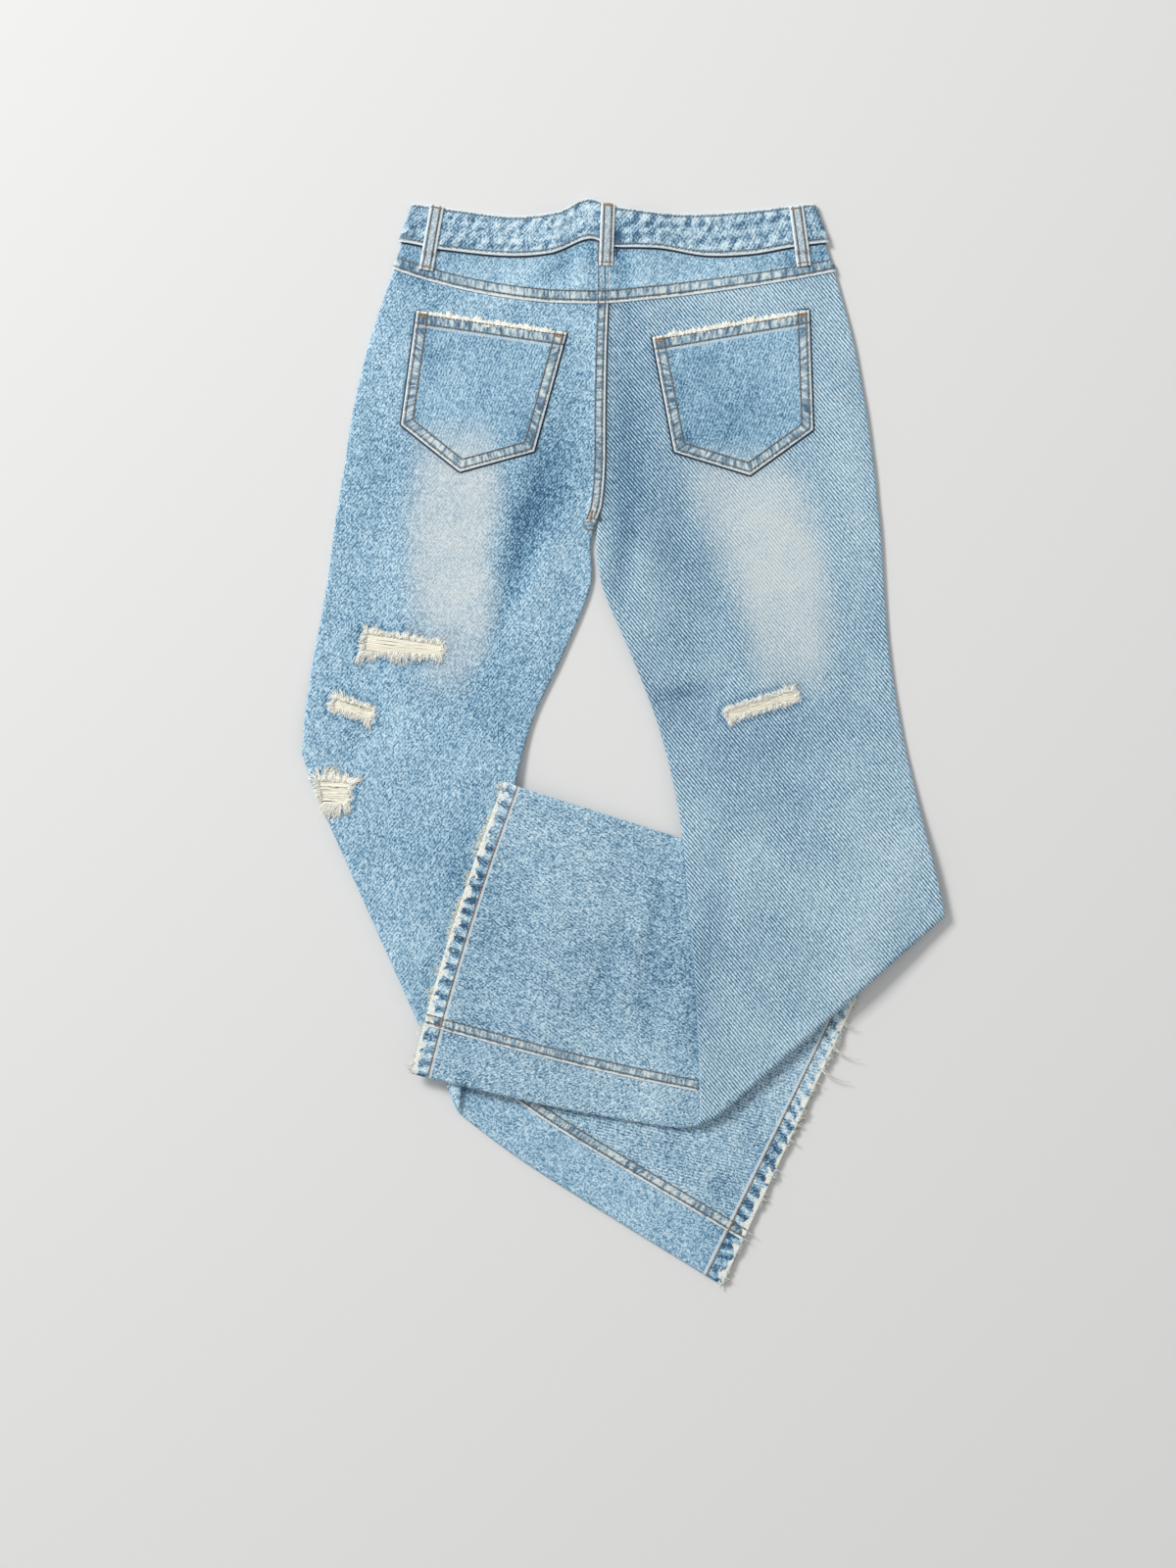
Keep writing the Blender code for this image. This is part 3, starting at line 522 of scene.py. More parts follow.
class Leg:
    """A leg drawn straight, in lines v: -1 is the waistband's seam, 0 the yoke's, and last the hem.

    A point of it has z from -HALF on the front to HALF on the back. Each fold corner is a
    place, how far it moves, and how far round it the cloth follows.
    """

    def __init__(self, sections, waist_x, fold_point, fold_angle, lower, upper, rips, corners):
        self.table = np.array(sections, float)
        self.last = len(sections) - 1
        self.waist_x = waist_x
        self.lower, self.upper, self.rips, self.corners = lower, upper, rips, corners
        angle = math.radians(fold_angle)
        self.out = np.array([math.cos(angle), math.sin(angle)])
        self.axis = np.array(fold_point) - self.out * (FOLD_RADIUS + HALF)
        self.lines = np.linspace(-1, self.last, 4001)
        run = run_along(self.share_point(self.lines, 0.5))
        self.from_hem = run[-1] - run

    def share_point(self, v, k):
        """The point at share k of the width, from the outer edge, on line v."""
        v, k = np.broadcast_arrays(np.asarray(v, float), np.asarray(k, float))
        line = curve(self.table, np.clip(v, 0, None))
        point = between(line[..., 0:2], line[..., 2:4], k)
        point[..., 1] -= 4 * k * (1 - k) * line[..., 4]
        waist_x = self.waist_x + (self.table[0, 2] - self.waist_x) * k
        waist = waist_point(waist_x, np.clip(-1 - v, 0, None))
        return between(point, waist, np.clip(-v, 0, 1))

    def width(self, v):
        """The length of line v."""
        return np.linalg.norm(self.share_point(v, 1.0) - self.share_point(v, 0.0), axis=-1)

    def seam_in(self, v):
        """How far the inseam lies from the inner edge."""
        return curve(self.table, np.clip(v, 0, None))[..., 5]

    def at(self, v, across):
        """The point this far across line v from the outer edge."""
        return self.share_point(v, across / self.width(v))

    def above_hem(self, v):
        """How far line v is above the hem."""
        return np.interp(v, self.lines, self.from_hem)

    def line_at(self, distance):
        """The line this far above the hem; a negative distance is beyond the hem."""
        past = np.clip(-np.asarray(distance, float), 0, None)
        line = np.interp(distance, self.from_hem[::-1], self.lines[::-1])
        return line + past / (self.from_hem[-101] / (self.last - self.lines[-101]))

    def rows(self, top):
        """Lines from top to the hem, closer together at the hem and at the crotch."""
        reach = self.above_hem(top)
        far = np.linspace(NEAR_EDGE[-1], reach, int((reach - NEAR_EDGE[-1]) / ROW_STEP) + 1)
        # One line runs exactly through the crotch, one just above it, and none too near them
        fork = self.above_hem(CROTCH)
        near = [d for d in (*NEAR_EDGE, HEM_ROW, *far[1:]) if abs(d - fork - 1) > 2.4]
        return np.sort(np.append(self.line_at(np.array(near + [fork + 2])), CROTCH))

    def facing(self, points):
        """1 where the cloth's outer side ends up facing upwards, and 0 where it faces down."""
        past = np.clip((points[:, :2] - self.axis) @ self.out, 0, math.pi * FOLD_RADIUS)
        return smooth(0.5 + 0.5 * points[:, 2] / HALF * np.cos(past / FOLD_RADIUS))

    def fold(self, points):
        """Where points of the straight leg lie once it is folded under."""
        flat, z = points[:, :2], points[:, 2]
        past = (flat - self.axis) @ self.out
        bend = math.pi * FOLD_RADIUS
        foot = flat - self.out * past[:, None]
        turn = np.clip(past, 0, bend) / FOLD_RADIUS
        reach = FOLD_RADIUS + z
        middle = self.lower(*foot.T) + FOLD_RADIUS
        under = foot - self.out * (past - bend)[:, None]
        bent = foot + self.out * (reach * np.sin(turn))[:, None]
        upper, in_bend = past <= 0, (past > 0) & (past < bend)
        where = np.select([upper[:, None], in_bend[:, None]], [flat, bent], under)
        height = np.select(
            [upper, in_bend],
            [self.upper(*flat.T) + z, middle + reach * np.cos(turn)],
            self.lower(*under.T) - z,
        )
        for x, y, in_x, in_y, radius in self.corners:
            near = np.exp(-((where[:, 0] - x) ** 2 + (where[:, 1] - y) ** 2) / radius ** 2)
            where = where + near[:, None] * (in_x, in_y)
        return places(*where.T, height)

    def lay_front(self, points):
        """Where points of a front piece come to lie."""
        return settled(self.fold(points))

    def lay_back(self, points):
        """Where points of a back piece come to lie, with the pucker at the waist."""
        where = self.fold(points)
        where[:, 2] += np.where(points[:, 1] > 0, pucker(points[:, 0], points[:, 1]), 0)
        return settled(where)


LEGS = {
    "left": Leg(LEFT_SECTIONS, -195, (-215, -170), 204.1, left_lower, left_upper, LEFT_RIPS,
                ((-287, -8, 4.0, -1.0, 22),)),
    "right": Leg(RIGHT_SECTIONS, 180, (206, -223), -48.6, right_lower, right_upper, RIGHT_RIPS,
                 ((71, -344, -3.5, 5.0, 13),)),
}


# ---------------------------------------------------------------- nets of the legs

# How far round the outer edge each angle of its bend is, as if unrolled
OUTER_RUN = HALF - HALF * np.radians(np.array(OUTER_BEND) - 90)


def arc(centre, angles, run):
    """Across, up, normal across, normal up and unrolled distance round a bent edge."""
    c, s = np.cos(np.radians(angles)), np.sin(np.radians(angles))
    return np.broadcast_arrays(centre[:, None] + HALF * c, HALF * s, c, s, run)


def outer_bend(lines, up):
    """The bend round a leg's outer edge: up is 1 on the back and -1 on the front."""
    return arc(np.full(lines, HALF), up * np.array(OUTER_BEND), OUTER_RUN)


def flat_part(across, up, run):
    """The same measures on the flat of a panel."""
    return np.broadcast_arrays(across, HALF * up, 0.0, float(up), run)


def columns_to(end):
    """Distances across, from the end of the outer bend to end, closer together at the end."""
    count = int(np.max(end - HALF) / COLUMN_STEP)
    main = HALF + (end[:, None] - NEAR_EDGE[-1] - HALF) * np.linspace(0, 1, count)
    return np.concatenate([main, end[:, None] - np.array(NEAR_EDGE[-2::-1])], 1)


def net(points, measures, keep=None):
    """A mesh net through a grid of points, with its measures kept at each vertex."""
    rows, columns = points.shape[:2]
    number = np.arange(rows * columns).reshape(rows, columns)
    corners = places(number[:-1, :-1], number[:-1, 1:], number[1:, 1:], number[1:, :-1])
    corners = corners[keep] if keep is not None else corners.reshape(-1, 4)
    mesh = bpy.data.meshes.new("net")
    mesh.from_pydata(points.reshape(-1, 3).tolist(), [], corners.tolist())
    for key, values in measures.items():
        write_measures(mesh, key, np.broadcast_to(values, points.shape))
    sheet = bmesh.new()
    sheet.from_mesh(mesh)
    bpy.data.meshes.remove(mesh)
    loose = [vert for vert in sheet.verts if not vert.link_faces]
    bmesh.ops.delete(sheet, geom=loose, context="VERTS")
    return sheet


def leg_net(leg, v, parts, drawn, keep=None):
    """A net over one panel of a leg, part by part across it.

    drawn gives each vertex's three distances from seams and edges.
    """
    across, up, out_across, out_up, unrolled = (np.concatenate(part, 1) for part in zip(*parts))
    grid_v = np.broadcast_to(v[:, None], across.shape)
    way = unit(leg.share_point(v, 1.0) - leg.share_point(v, 0.0))[:, None]
    seams = [np.clip(part, 0, FAR) for part in drawn(grid_v, across, unrolled)]
    return net(places(*np.moveaxis(leg.at(grid_v, across), -1, 0), up), {
        "inward": -CLOTH * places(out_across * way[..., 0], out_across * way[..., 1], out_up),
        "pattern": places(*np.moveaxis(leg.at(grid_v, unrolled), -1, 0), grid_v),
        "seams": places(*seams),
    }, keep)


def back_net(leg, gap):
    """The back panel from under the yoke, round the inner edge, to the inseam."""
    v = leg.rows(YOKE_UNDERLAP - 1)
    width, closed = leg.width(v), v >= CROTCH
    bend = width - HALF
    end = np.where(closed, bend, width - gap)
    flat_across = columns_to(end)
    turn = bend[:, None] + HALF * np.radians(90 - np.array(INNER_BEND))
    seam = width - leg.seam_in(v) + SEAM
    under = bend[:, None] + (seam - bend)[:, None] * np.linspace(0, 1, 13)[1:]
    parts = [
        outer_bend(len(v), 1),
        flat_part(flat_across, 1, flat_across),
        arc(bend, INNER_BEND, turn),
        flat_part(under, -1, turn[:, -1:] + bend[:, None] - under),
    ]
    columns = sum(part[0].shape[1] for part in parts)
    wrapped = np.arange(columns - 1) >= len(OUTER_BEND) + flat_across.shape[1] - 1
    fork = leg.share_point(CROTCH, 1.0)[1]

    def drawn(grid_v, across, unrolled):
        below = np.clip(fork - leg.at(grid_v, across)[..., 1], 0, None)
        from_centre = np.hypot(end[:, None] - np.minimum(across, end[:, None]), below)
        return from_centre, leg.above_hem(grid_v), unrolled - OUTER_RUN[0]
    return leg_net(leg, v, parts, drawn, keep=closed[:-1, None] | ~wrapped)


def front_net(leg, gap):
    """The front panel from the waistband, between the outseam and the inseam."""
    v = leg.rows(-0.99)
    end = leg.width(v) - np.where(v >= CROTCH, leg.seam_in(v), gap)
    across = columns_to(end)

    def drawn(grid_v, across, unrolled):
        return end[:, None] - across, leg.above_hem(grid_v), unrolled - OUTER_RUN[0]
    return leg_net(leg, v, [outer_bend(len(v), -1), flat_part(across, -1, across)], drawn)


def split_at_fold(sheet, leg):
    """Give the sheet an edge along each facet of the fold."""
    for i in range(FOLD_STRIPS + 1):
        point = leg.axis + leg.out * (math.pi * FOLD_RADIUS * i / FOLD_STRIPS)
        bmesh.ops.bisect_plane(
            sheet, geom=sheet.verts[:] + sheet.edges[:] + sheet.faces[:], dist=0.001,
            plane_co=(*point, 0), plane_no=(*leg.out, 0))


# ---------------------------------------------------------------- rips

def ragged(corners, seed, wander=1.1):
    """The torn outline of a rip, through its corners."""
    shares = np.linspace(0, 1, 26)[:-1]
    sides = zip(corners, np.roll(corners, -1, axis=0))
    x, y = np.concatenate([between(start, end, shares) for start, end in sides]).T
    return places(x + wander * hum(x, y, 7, seed), y + wander * hum(x, y, 6, seed + 1))


def tear(sheet, outline):
    """Refine the back of a leg round a rip, and cut the rip out."""
    low, high = outline.min(axis=0) - 5, outline.max(axis=0) + 5

    def near(point):
        return low[0] < point.x < high[0] and low[1] < point.y < high[1] and point.z > HALF / 2
    close = [edge for edge in sheet.edges if near(edge.verts[0].co) and near(edge.verts[1].co)]
    bmesh.ops.subdivide_edges(sheet, edges=close, cuts=2, use_grid_fill=True)
    faces = [face for face in sheet.faces if all(near(vert.co) for vert in face.verts)]
    middles = np.array([face.calc_center_median()[:2] for face in faces])
    torn = within(outline, *middles.T)
    bmesh.ops.delete(sheet, geom=[face for face, out in zip(faces, torn) if out], context="FACES")


# ---------------------------------------------------------------- shells and pieces

# The outer face of each cloth piece, for the stitches that are sewn on it
SURFACES = {}


def write_measures(mesh, key, values):
    """Keep three measures at each vertex of a mesh."""
    mesh.attributes.new(key, "FLOAT_VECTOR", "POINT").data.foreach_set(
        "vector", np.ascontiguousarray(values, dtype=np.float32).ravel())


def read_measures(mesh, key):
    """Three measures from each vertex of a mesh."""
    values = np.zeros(len(mesh.vertices) * 3, np.float32)
    mesh.attributes[key].data.foreach_get("vector", values)
    return values.reshape(-1, 3).astype(float)


# The laps of a piece: how far it is from the edges that lie over it, and 1 on its underside

def under_edges(leg, pocket):
    """The laps of a leg's back, which lies under the yoke and the pocket."""
    def measure(flat, seams):
        x, y, z = flat.T
        below_yoke = leg.above_hem(0.0) - seams[:, 1]
        sewn = np.roll(pocket, -1, axis=0)
        off_pocket = distance_to(sewn, x, y, closed=False) * np.where(within(sewn, x, y), -1, 1)
        nearest = np.clip(np.minimum(abs(below_yoke), off_pocket), -FAR, FAR)
        return places(np.where(z > 0, nearest, FAR), z <= 0, 0.0)
    return measure


def clear_of_edges(flat, seams):
    """The laps of a piece that nothing lies over."""
    return np.tile([FAR, 0.0, 0.0], (len(flat), 1))


def rim_walls(triangles, count):
    """Faces that close the open edges of a sheet to the same edges count vertices later."""
    edges = np.concatenate([triangles[:, [0, 1]], triangles[:, [1, 2]], triangles[:, [2, 0]]])
    key = np.sort(edges, axis=1) @ np.array([count, 1])
    _, first, uses = np.unique(key, return_index=True, return_counts=True)
    start, end = edges[first[uses == 1]].T
    return np.concatenate([places(end, start, start + count), places(end, start + count, end + count)])


def from_rips(flat, outlines):
    """How far points of a leg's back are from the nearest rip."""
    x, y, z = flat.T
    nearest = np.full(len(flat), FAR)
    for outline in outlines:
        nearest = np.minimum(nearest, distance_to(outline, x, y))
    return np.where(z > HALF / 2, nearest, FAR)


def give_pattern(mesh, pattern):
    """Map the flat cloth onto both faces of a shell, for its weave."""
    loops = np.zeros(len(mesh.loops), np.int32)
    mesh.loops.foreach_get("vertex_index", loops)
    uv = pattern[loops % len(pattern), :2] * MM
    mesh.uv_layers.new(name="cloth").data.foreach_set("uv", uv.astype(np.float32).ravel())


def shell(name, sheet, relief, lay, material, stands_for, torn=(), laps=clear_of_edges):
    """Close a sheet's outer and inner faces into one solid cloth, laid in place."""
    bmesh.ops.triangulate(sheet, faces=sheet.faces[:])
    mesh = bpy.data.meshes.new("sheet")
    sheet.to_mesh(mesh)
    sheet.free()
    flat, inward, pattern, seams = (
        read_measures(mesh, key) for key in ("position", "inward", "pattern", "seams"))
    triangles = np.zeros(len(mesh.polygons) * 3, np.int32)
    mesh.polygons.foreach_get("vertices", triangles)
    triangles = triangles.reshape(-1, 3)
    bpy.data.meshes.remove(mesh)

    normal = -unit(inward)
    corner = flat[triangles]
    facing = np.cross(corner[:, 1] - corner[:, 0], corner[:, 2] - corner[:, 0])
    if (facing * normal[triangles[:, 0]]).sum() < 0:
        triangles = triangles[:, ::-1]
    rise, rounding, wave = relief(flat, pattern, seams)
    outer = lay(flat + normal * (rise - rounding)[:, None])
    inner = lay(flat + inward + normal * rise[:, None])
    SURFACES[name] = BVHTree.FromPolygons(outer.tolist(), triangles.tolist())

    count = len(flat)
    faces = np.concatenate([triangles, triangles[:, ::-1] + count, rim_walls(triangles, count)])
    solid = bpy.data.meshes.new(name)
    solid.from_pydata((np.concatenate([outer, inner]) * MM).tolist(), [], faces.tolist(),
                      shade_flat=False)
    x, y, _ = outer.T
    # Fade; painted shade and light of the creases and puckers, with tints of the dye and wear; and the
    # distance from the rips
    marks = places(faded(x, y), dye_and_painted_shade(x, y) + wave, from_rips(flat, torn))
    for key, values in (("seams", seams), ("marks", marks), ("laps", laps(flat, seams))):
        write_measures(solid, key, np.concatenate([values, values]))
    give_pattern(solid, pattern)
    solid.set_sharp_from_angle(angle=math.radians(50))
    return add_piece(name, solid, material, stands_for)


def add_piece(name, mesh, material, stands_for=None):
    """Link a finished mesh as a piece of the jeans."""
    mesh.materials.append(material)
    piece = bpy.data.objects.new(name, mesh)
    bpy.context.scene.collection.objects.link(piece)
    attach(piece, "root")
    if stands_for:
        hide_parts(stands_for)
    return piece


# ---------------------------------------------------------------- relief along the seams

def band(distance, width, fade=1.6):
    """1 within this distance of a seam, easing to 0 beyond it."""
    return smooth((width - distance) / fade + 0.5)


def edge(distance):
    """How far a cut or turned edge rounds off, from 1 at the edge itself."""
    return np.clip(1 - distance / 0.9, 0, 1) ** 2


def ripples(along, across, pitch, seed):
    """Puckers that a shrunken seam pulls up, about -1 to 1, at an uneven pitch."""
    drift = 1.8 * hum(along, across, 70, seed)
    strength = np.clip(0.85 + 0.35 * hum(along, across, 45, seed + 1), 0.3, 1.2)
    swell = np.sin(2 * math.pi * (along + 0.12 * across) / pitch + drift)
    return strength * np.clip(1.5 * swell, -1, 1)


# From its points as drawn, its pattern and its distances from seams, each relief gives how far
# a piece's faces rise, how far its edges round off, and the waves that its colour follows: paler on the
# puckers' tops and darker in their hollows, partly wear and partly painted shade

def leg_relief(leg, raised, seed):
    """Relief of a leg panel: raised is how far its long seam stands over the next panel."""
    def relief(flat, pattern, seams):
        long_seam, hem, _ = seams.T
        x, y = pattern[:, 0], pattern[:, 1]
        up = leg.facing(flat)
        on_seam, on_hem = band(long_seam, 10.8), band(hem, HEM_TURN)
        rope, tuck = ripples(x, hem, 12.0, seed), ripples(y, long_seam, 10.5, seed + 5)
        rise = on_seam * (raised + 0.16 * tuck * (raised > 0)) + on_hem * (0.4 + 0.28 * rope)
        rise = rise + 0.12 * band(long_seam, 26, 14) * ripples(y, long_seam, 17, seed + 8)
        rise = rise + 0.15 * band(hem, 34, 16) * rope
        rounding = 0.3 * np.maximum(edge(long_seam), edge(hem))
        return rise * up, rounding, 0.85 * on_hem * rope + 0.5 * on_seam * tuck
    return relief


def yoke_relief(raised, seed):
    """Relief of a yoke: raised is how far it stands over the other one at the centre back."""
    def relief(flat, pattern, seams):
        centre, low, top = seams.T
        x, v = pattern[:, 0], pattern[:, 2]
        lap = LAP * smooth((v + 1 - YOKE_FLAT_END) / (YOKE_LAP_START - YOKE_FLAT_END))
        tuck = ripples(x, low, 10.5, seed)
        on_centre, on_low = band(centre, 10.8), band(low, 11.5)
        rise = lap + raised * on_centre + 0.2 * on_low * tuck
        rise = rise + 0.25 * smooth(top / 8) * smooth((low - 8) / 8) * hum(x, low, 26, seed + 3)
        rounding = 0.35 * np.maximum(edge(low), edge(centre))
        wave = 0.5 * on_low * tuck + 0.35 * on_centre * ripples(pattern[:, 1], centre, 9, seed + 2)
        return rise, rounding, wave
    return relief


def band_relief(flat, pattern, seams):
    """The waistband's dimples, in two rows between its stitching."""
    x, y = pattern[:, 0], pattern[:, 1]
    _, low, top = seams.T
    dimple = ripples(x - 0.5 * y, 0, 11.5, 31) * np.where(y > BAND_HEIGHT / 2, 1, -1)
    coarse, fine = hum(x - 0.6 * y, 1.3 * y, 15, 33), hum(x - 0.8 * y, 0.6 * y, 5, 35)
    mid = abs(y - BAND_HEIGHT / 2) / (BAND_HEIGHT / 2)
    row = smooth((1 - mid) / 0.3) * smooth(mid / 0.4 + 0.3)
    wave = row * (0.5 * dimple + 0.6 * coarse + 0.35 * fine)
    up = smooth((flat[:, 2] - 3) / 1.5)
    return (0.2 * wave + 0.15 * hum(x, y, 40, 34)) * up, 0.5 * np.maximum(edge(low), edge(top)), wave


def pocket_relief(flat, pattern, seams):
    """A pocket's tucked edges and its full middle."""
    top, side, _ = seams.T
    tuck = ripples(flat[:, 0] + flat[:, 1], 0, 10.0, 41)
    on_edge = np.maximum(band(side, 11), band(top, 12))
    rise = 0.3 * on_edge + on_edge * 0.16 * tuck + 0.35 * smooth(side / 30) * smooth(top / 30)
    return rise, 0.4 * np.maximum(edge(top), edge(side)), 0.4 * on_edge * tuck


def loop_relief(flat, pattern, seams):
    """A belt loop's rounded edges and slight bumps."""
    side, end, _ = seams.T
    wave = 0.4 * hum(pattern[:, 0], pattern[:, 1], 9, 51)
    return 0.08 * wave, 0.45 * np.maximum(edge(side), edge(end)), wave


def no_relief(flat, pattern, seams):
    """Flat cloth, cut square."""
    return np.zeros((3, len(flat)))


# ---------------------------------------------------------------- the other nets

def yoke_net(leg, gap):
    """A yoke, from under the waistband to its lapped seam."""
    middle = leg.share_point(np.array([-1.0, 0.0]), 0.5)
    depth = np.linalg.norm(middle[0] - middle[1])
    near = -np.array(NEAR_EDGE) / depth
    v = np.concatenate([[-1 - BAND_UNDERLAP, -1.1], np.linspace(-1, near[-1], 14)[:-1], near[::-1]])
    width = leg.width(v)
    end = width - gap
    across = columns_to(end)

    def drawn(grid_v, across, unrolled):
        k = across / width[:, None]
        here = leg.share_point(grid_v, k)
        low = np.linalg.norm(here - leg.share_point(0.0, k), axis=-1)
        top = np.linalg.norm(here - leg.share_point(-1.0, k), axis=-1) * (grid_v > -1)
        return end[:, None] - across, low, top
    return leg_net(leg, v, [outer_bend(len(v), 1), flat_part(across, 1, across)], drawn)


def band_top(level):
    """Height of the waistband's outer face on the back, before the pucker."""
    fall = max(level - BAND_LAP_END, 0) / (1 - BAND_LAP_END)
    return 2 * HALF + SEAM + BAND - BAND_TOP_DROP * fall


def band_columns(leg, gap):
    """x of the waistband's columns over one leg, from the side to the centre back."""
    width = float(leg.width(-1.0))
    across = np.linspace(HALF, width - gap, int(width / 3))
    return leg.waist_x + (leg.table[0, 2] - leg.waist_x) * across / width


def band_flat(x, level, height, inward):
    """Outer and inner points of the band along its front or back."""
    outer = places(*waist_point(x, level).T, height)
    return np.stack([outer, outer + (0, 0, inward)], 1)


def band_side(leg, level, side):
    """Outer and inner points of the band's bend round the waist: side is 1 at the right."""
    reach = band_top(level) / 2
    x, y = waist_point(leg.waist_x, level) - (side * BAND_SIDE_INSET, 0)
    turn = np.radians(np.linspace(-90, 90, 9)) * -side
    return np.stack([places(x + side * radius * np.cos(turn), y, reach + radius * np.sin(turn))
                     for radius in (reach, reach - BAND)], 1)


def band_net():
    """One band from the left front, round the back, to the right front."""
    left, right = band_columns(LEGS["left"], 0), band_columns(LEGS["right"], SEAM)
    front_left = np.append(np.linspace(CENTRE_FRONT + BAND_OVERLAP, left[-1], 7)[:-1], left[::-1])
    front_right = np.append(right, np.linspace(right[-1], CENTRE_FRONT - BAND_OVERLAP, 9)[1:])
    back = np.append(left, right[::-1])
    # The front's underside rises over the button, and at the right over the left end too
    over_button = BUTTON_HEIGHT + SEAM
    rise_left = over_button * smooth((front_left - CENTRE_FRONT + BAND_OVERLAP + 20) / 20)
    rise_right = (over_button + BAND + SEAM) * smooth((CENTRE_FRONT + BAND_OVERLAP + 26 - front_right) / 22)
    near = np.array(NEAR_EDGE[:8])
    middle = np.linspace(near[-1], BAND_HEIGHT - near[-1], 8)[1:-1]
    depths = np.concatenate([near, middle, (BAND_HEIGHT - near)[::-1]])
    lines = []
    for level in depths / BAND_HEIGHT:
        back_height = band_top(level) + pucker(*waist_point(back, level).T)
        lines.append(np.concatenate([
            band_flat(front_left, level, rise_left, BAND),
            band_side(LEGS["left"], level, -1),
            band_flat(back, level, back_height, -BAND),
            band_side(LEGS["right"], level, 1),
            band_flat(front_right, level, rise_right, BAND),
        ]))
    outer, inner = np.moveaxis(lines, 2, 0)
    run, low = run_along(outer[len(outer) // 2]), depths[:, None]
    return net(outer, {
        "inward": inner - outer,
        "pattern": places(run, low, 0.0),
        "seams": np.clip(places(np.minimum(run, run[-1] - run), low, BAND_HEIGHT - low), 0, FAR),
    })


def band_line(depth):
    """Points along the waistband's back at this depth above its seam."""
    x = np.linspace(LEGS["left"].waist_x - 1, LEGS["right"].waist_x + 1, 260)
    where = waist_point(x, depth / BAND_HEIGHT).T
    return places(*where, band_top(depth / BAND_HEIGHT) + pucker(*where))


def tip_share(corners):
    """How far along a pocket's foot its tip is, from the outer end."""
    low_inner, tip, low_outer = np.array(corners[2:], float)
    long_side, short_side = np.linalg.norm(tip - low_outer), np.linalg.norm(tip - low_inner)
    return long_side / (long_side + short_side)


def pocket_point(corners, k, down):
    """A point of a patch pocket: k runs across it and down from its top to its foot."""
    top_outer, top_inner, low_inner, tip, low_outer = corners
    share = tip_share(corners)
    to_tip, from_tip = between(low_outer, tip, k / share), between(tip, low_inner, (k - share) / (1 - share))
    foot = np.where(k[..., None] < share, to_tip, from_tip)
    return between(between(top_outer, top_inner, k), foot, down)


def straight_distance(start, end, x, y):
    """Distance from places to the straight line through two others."""
    side = np.subtract(end, start)
    return abs((x - start[0]) * side[1] - (y - start[1]) * side[0]) / np.hypot(*side)


def pocket_net(corners):
    """A patch pocket lying on the back panel, pointed at its foot."""
    share = tip_share(corners)
    ends = np.array([0, 0.004, 0.009, 0.016, 0.027])
    to_tip = np.append(ends, np.linspace(0.05, share, 24))
    from_tip = 1 - np.append(ends, np.linspace(0.05, 1 - share, 18))[::-1]
    down = np.concatenate([ends, np.linspace(0.045, 0.955, 40), 1 - ends[::-1]])
    where = pocket_point(corners, *np.meshgrid(np.append(to_tip, from_tip[1:]), down))
    x, y = np.moveaxis(where, -1, 0)
    top, *sides = (straight_distance(start, end, x, y)
                   for start, end in zip(corners, corners[1:] + corners[:1]))
    return net(places(x, y, 2 * HALF + pucker(x, y) + LAP), {
        "inward": (0, 0, -CLOTH),
        "pattern": places(x - x.mean(), y - y.mean(), 0.0),
        "seams": places(top, np.min(sides, axis=0), FAR),
    })


def waist_top(leg, x, y):
    """Height of whatever lies outermost at the waist: the band, or the yoke below it."""
    above_seam = y - height_on(SEAM_LINE, x)
    if above_seam > -1:
        return band_top(min(max(above_seam / BAND_HEIGHT, 0.0), 1.0))
    k = (x - leg.waist_x) / (leg.table[0, 2] - leg.waist_x)
    waist_y, seam_y = leg.share_point(np.array([-1.0, 0.0]), k)[:, 1]
    down = (waist_y - y) / (waist_y - seam_y)
    rise = (down - YOKE_FLAT_END) / (YOKE_LAP_START - YOKE_FLAT_END)
    return 2 * HALF + LAP * min(max(rise, 0.0), 1.0)


def loop_net(leg, top, bottom):
    """A strip over the waistband, sewn to its free edge and to the yoke."""
    start, way = np.array(top, float), np.subtract(bottom, top, dtype=float)
    length, down = np.linalg.norm(way), unit(way)
    near = [d for d in NEAR_EDGE if d < 4]
    run = np.array(near + list(np.arange(5, length - 5, 1.6)) + [length - d for d in near[::-1]])
    heights = []
    for place in run:
        steps = start + down * (place + LOOP_STIFFNESS * np.linspace(-1, 1, 9))[:, None]
        heights.append(max(waist_top(leg, *step) for step in steps))
    blur = np.exp(-((run[:, None] - run) / 1.6) ** 2)
    heights = np.maximum(heights, blur @ np.array(heights) / blur.sum(axis=1))[:, None]
    shares = np.array([-1, -0.928, -0.832, -0.64, -0.32, 0, 0.32, 0.64, 0.832, 0.928, 1])
    aside, crown = shares * LOOP_WIDTH / 2, LOOP_CROWN * (1 - shares ** 2)
    x, y = np.moveaxis(start + down * run[:, None, None] + left_of(down) * aside[:, None], -1, 0)
    from_end = np.minimum(run, length - run)[:, None]
    return net(places(x, y, heights + pucker(x, y) + SEAM + LOOP_CLOTH + crown), {
        "inward": places(0.0, 0.0, -LOOP_CLOTH - crown),
        "pattern": places(aside, run[:, None], 0.0),
        "seams": places(LOOP_WIDTH / 2 - abs(aside), from_end, FAR),
    })


def fly_net():
    """The flap behind the fly, inside on the front panels."""
    down, k = np.meshgrid(np.linspace(4.0, FLY_LENGTH, 24), np.linspace(0, 1, 9), indexing="ij")
    round_off = 1 - 0.4 * smooth((down - FLY_LENGTH * 0.6) / (FLY_LENGTH * 0.4))
    x = FLY_EDGE + FLY_WIDTH * k * round_off
    y = height_on(SEAM_LINE, x) - down
    return net(places(x, y, 2 * CLOTH + SEAM), {
        "inward": (0, 0, -CLOTH),
        "pattern": places(x, y, 0.0),
        "seams": places(FLY_WIDTH * k, FAR, FAR),
    })


# ---------------------------------------------------------------- threads

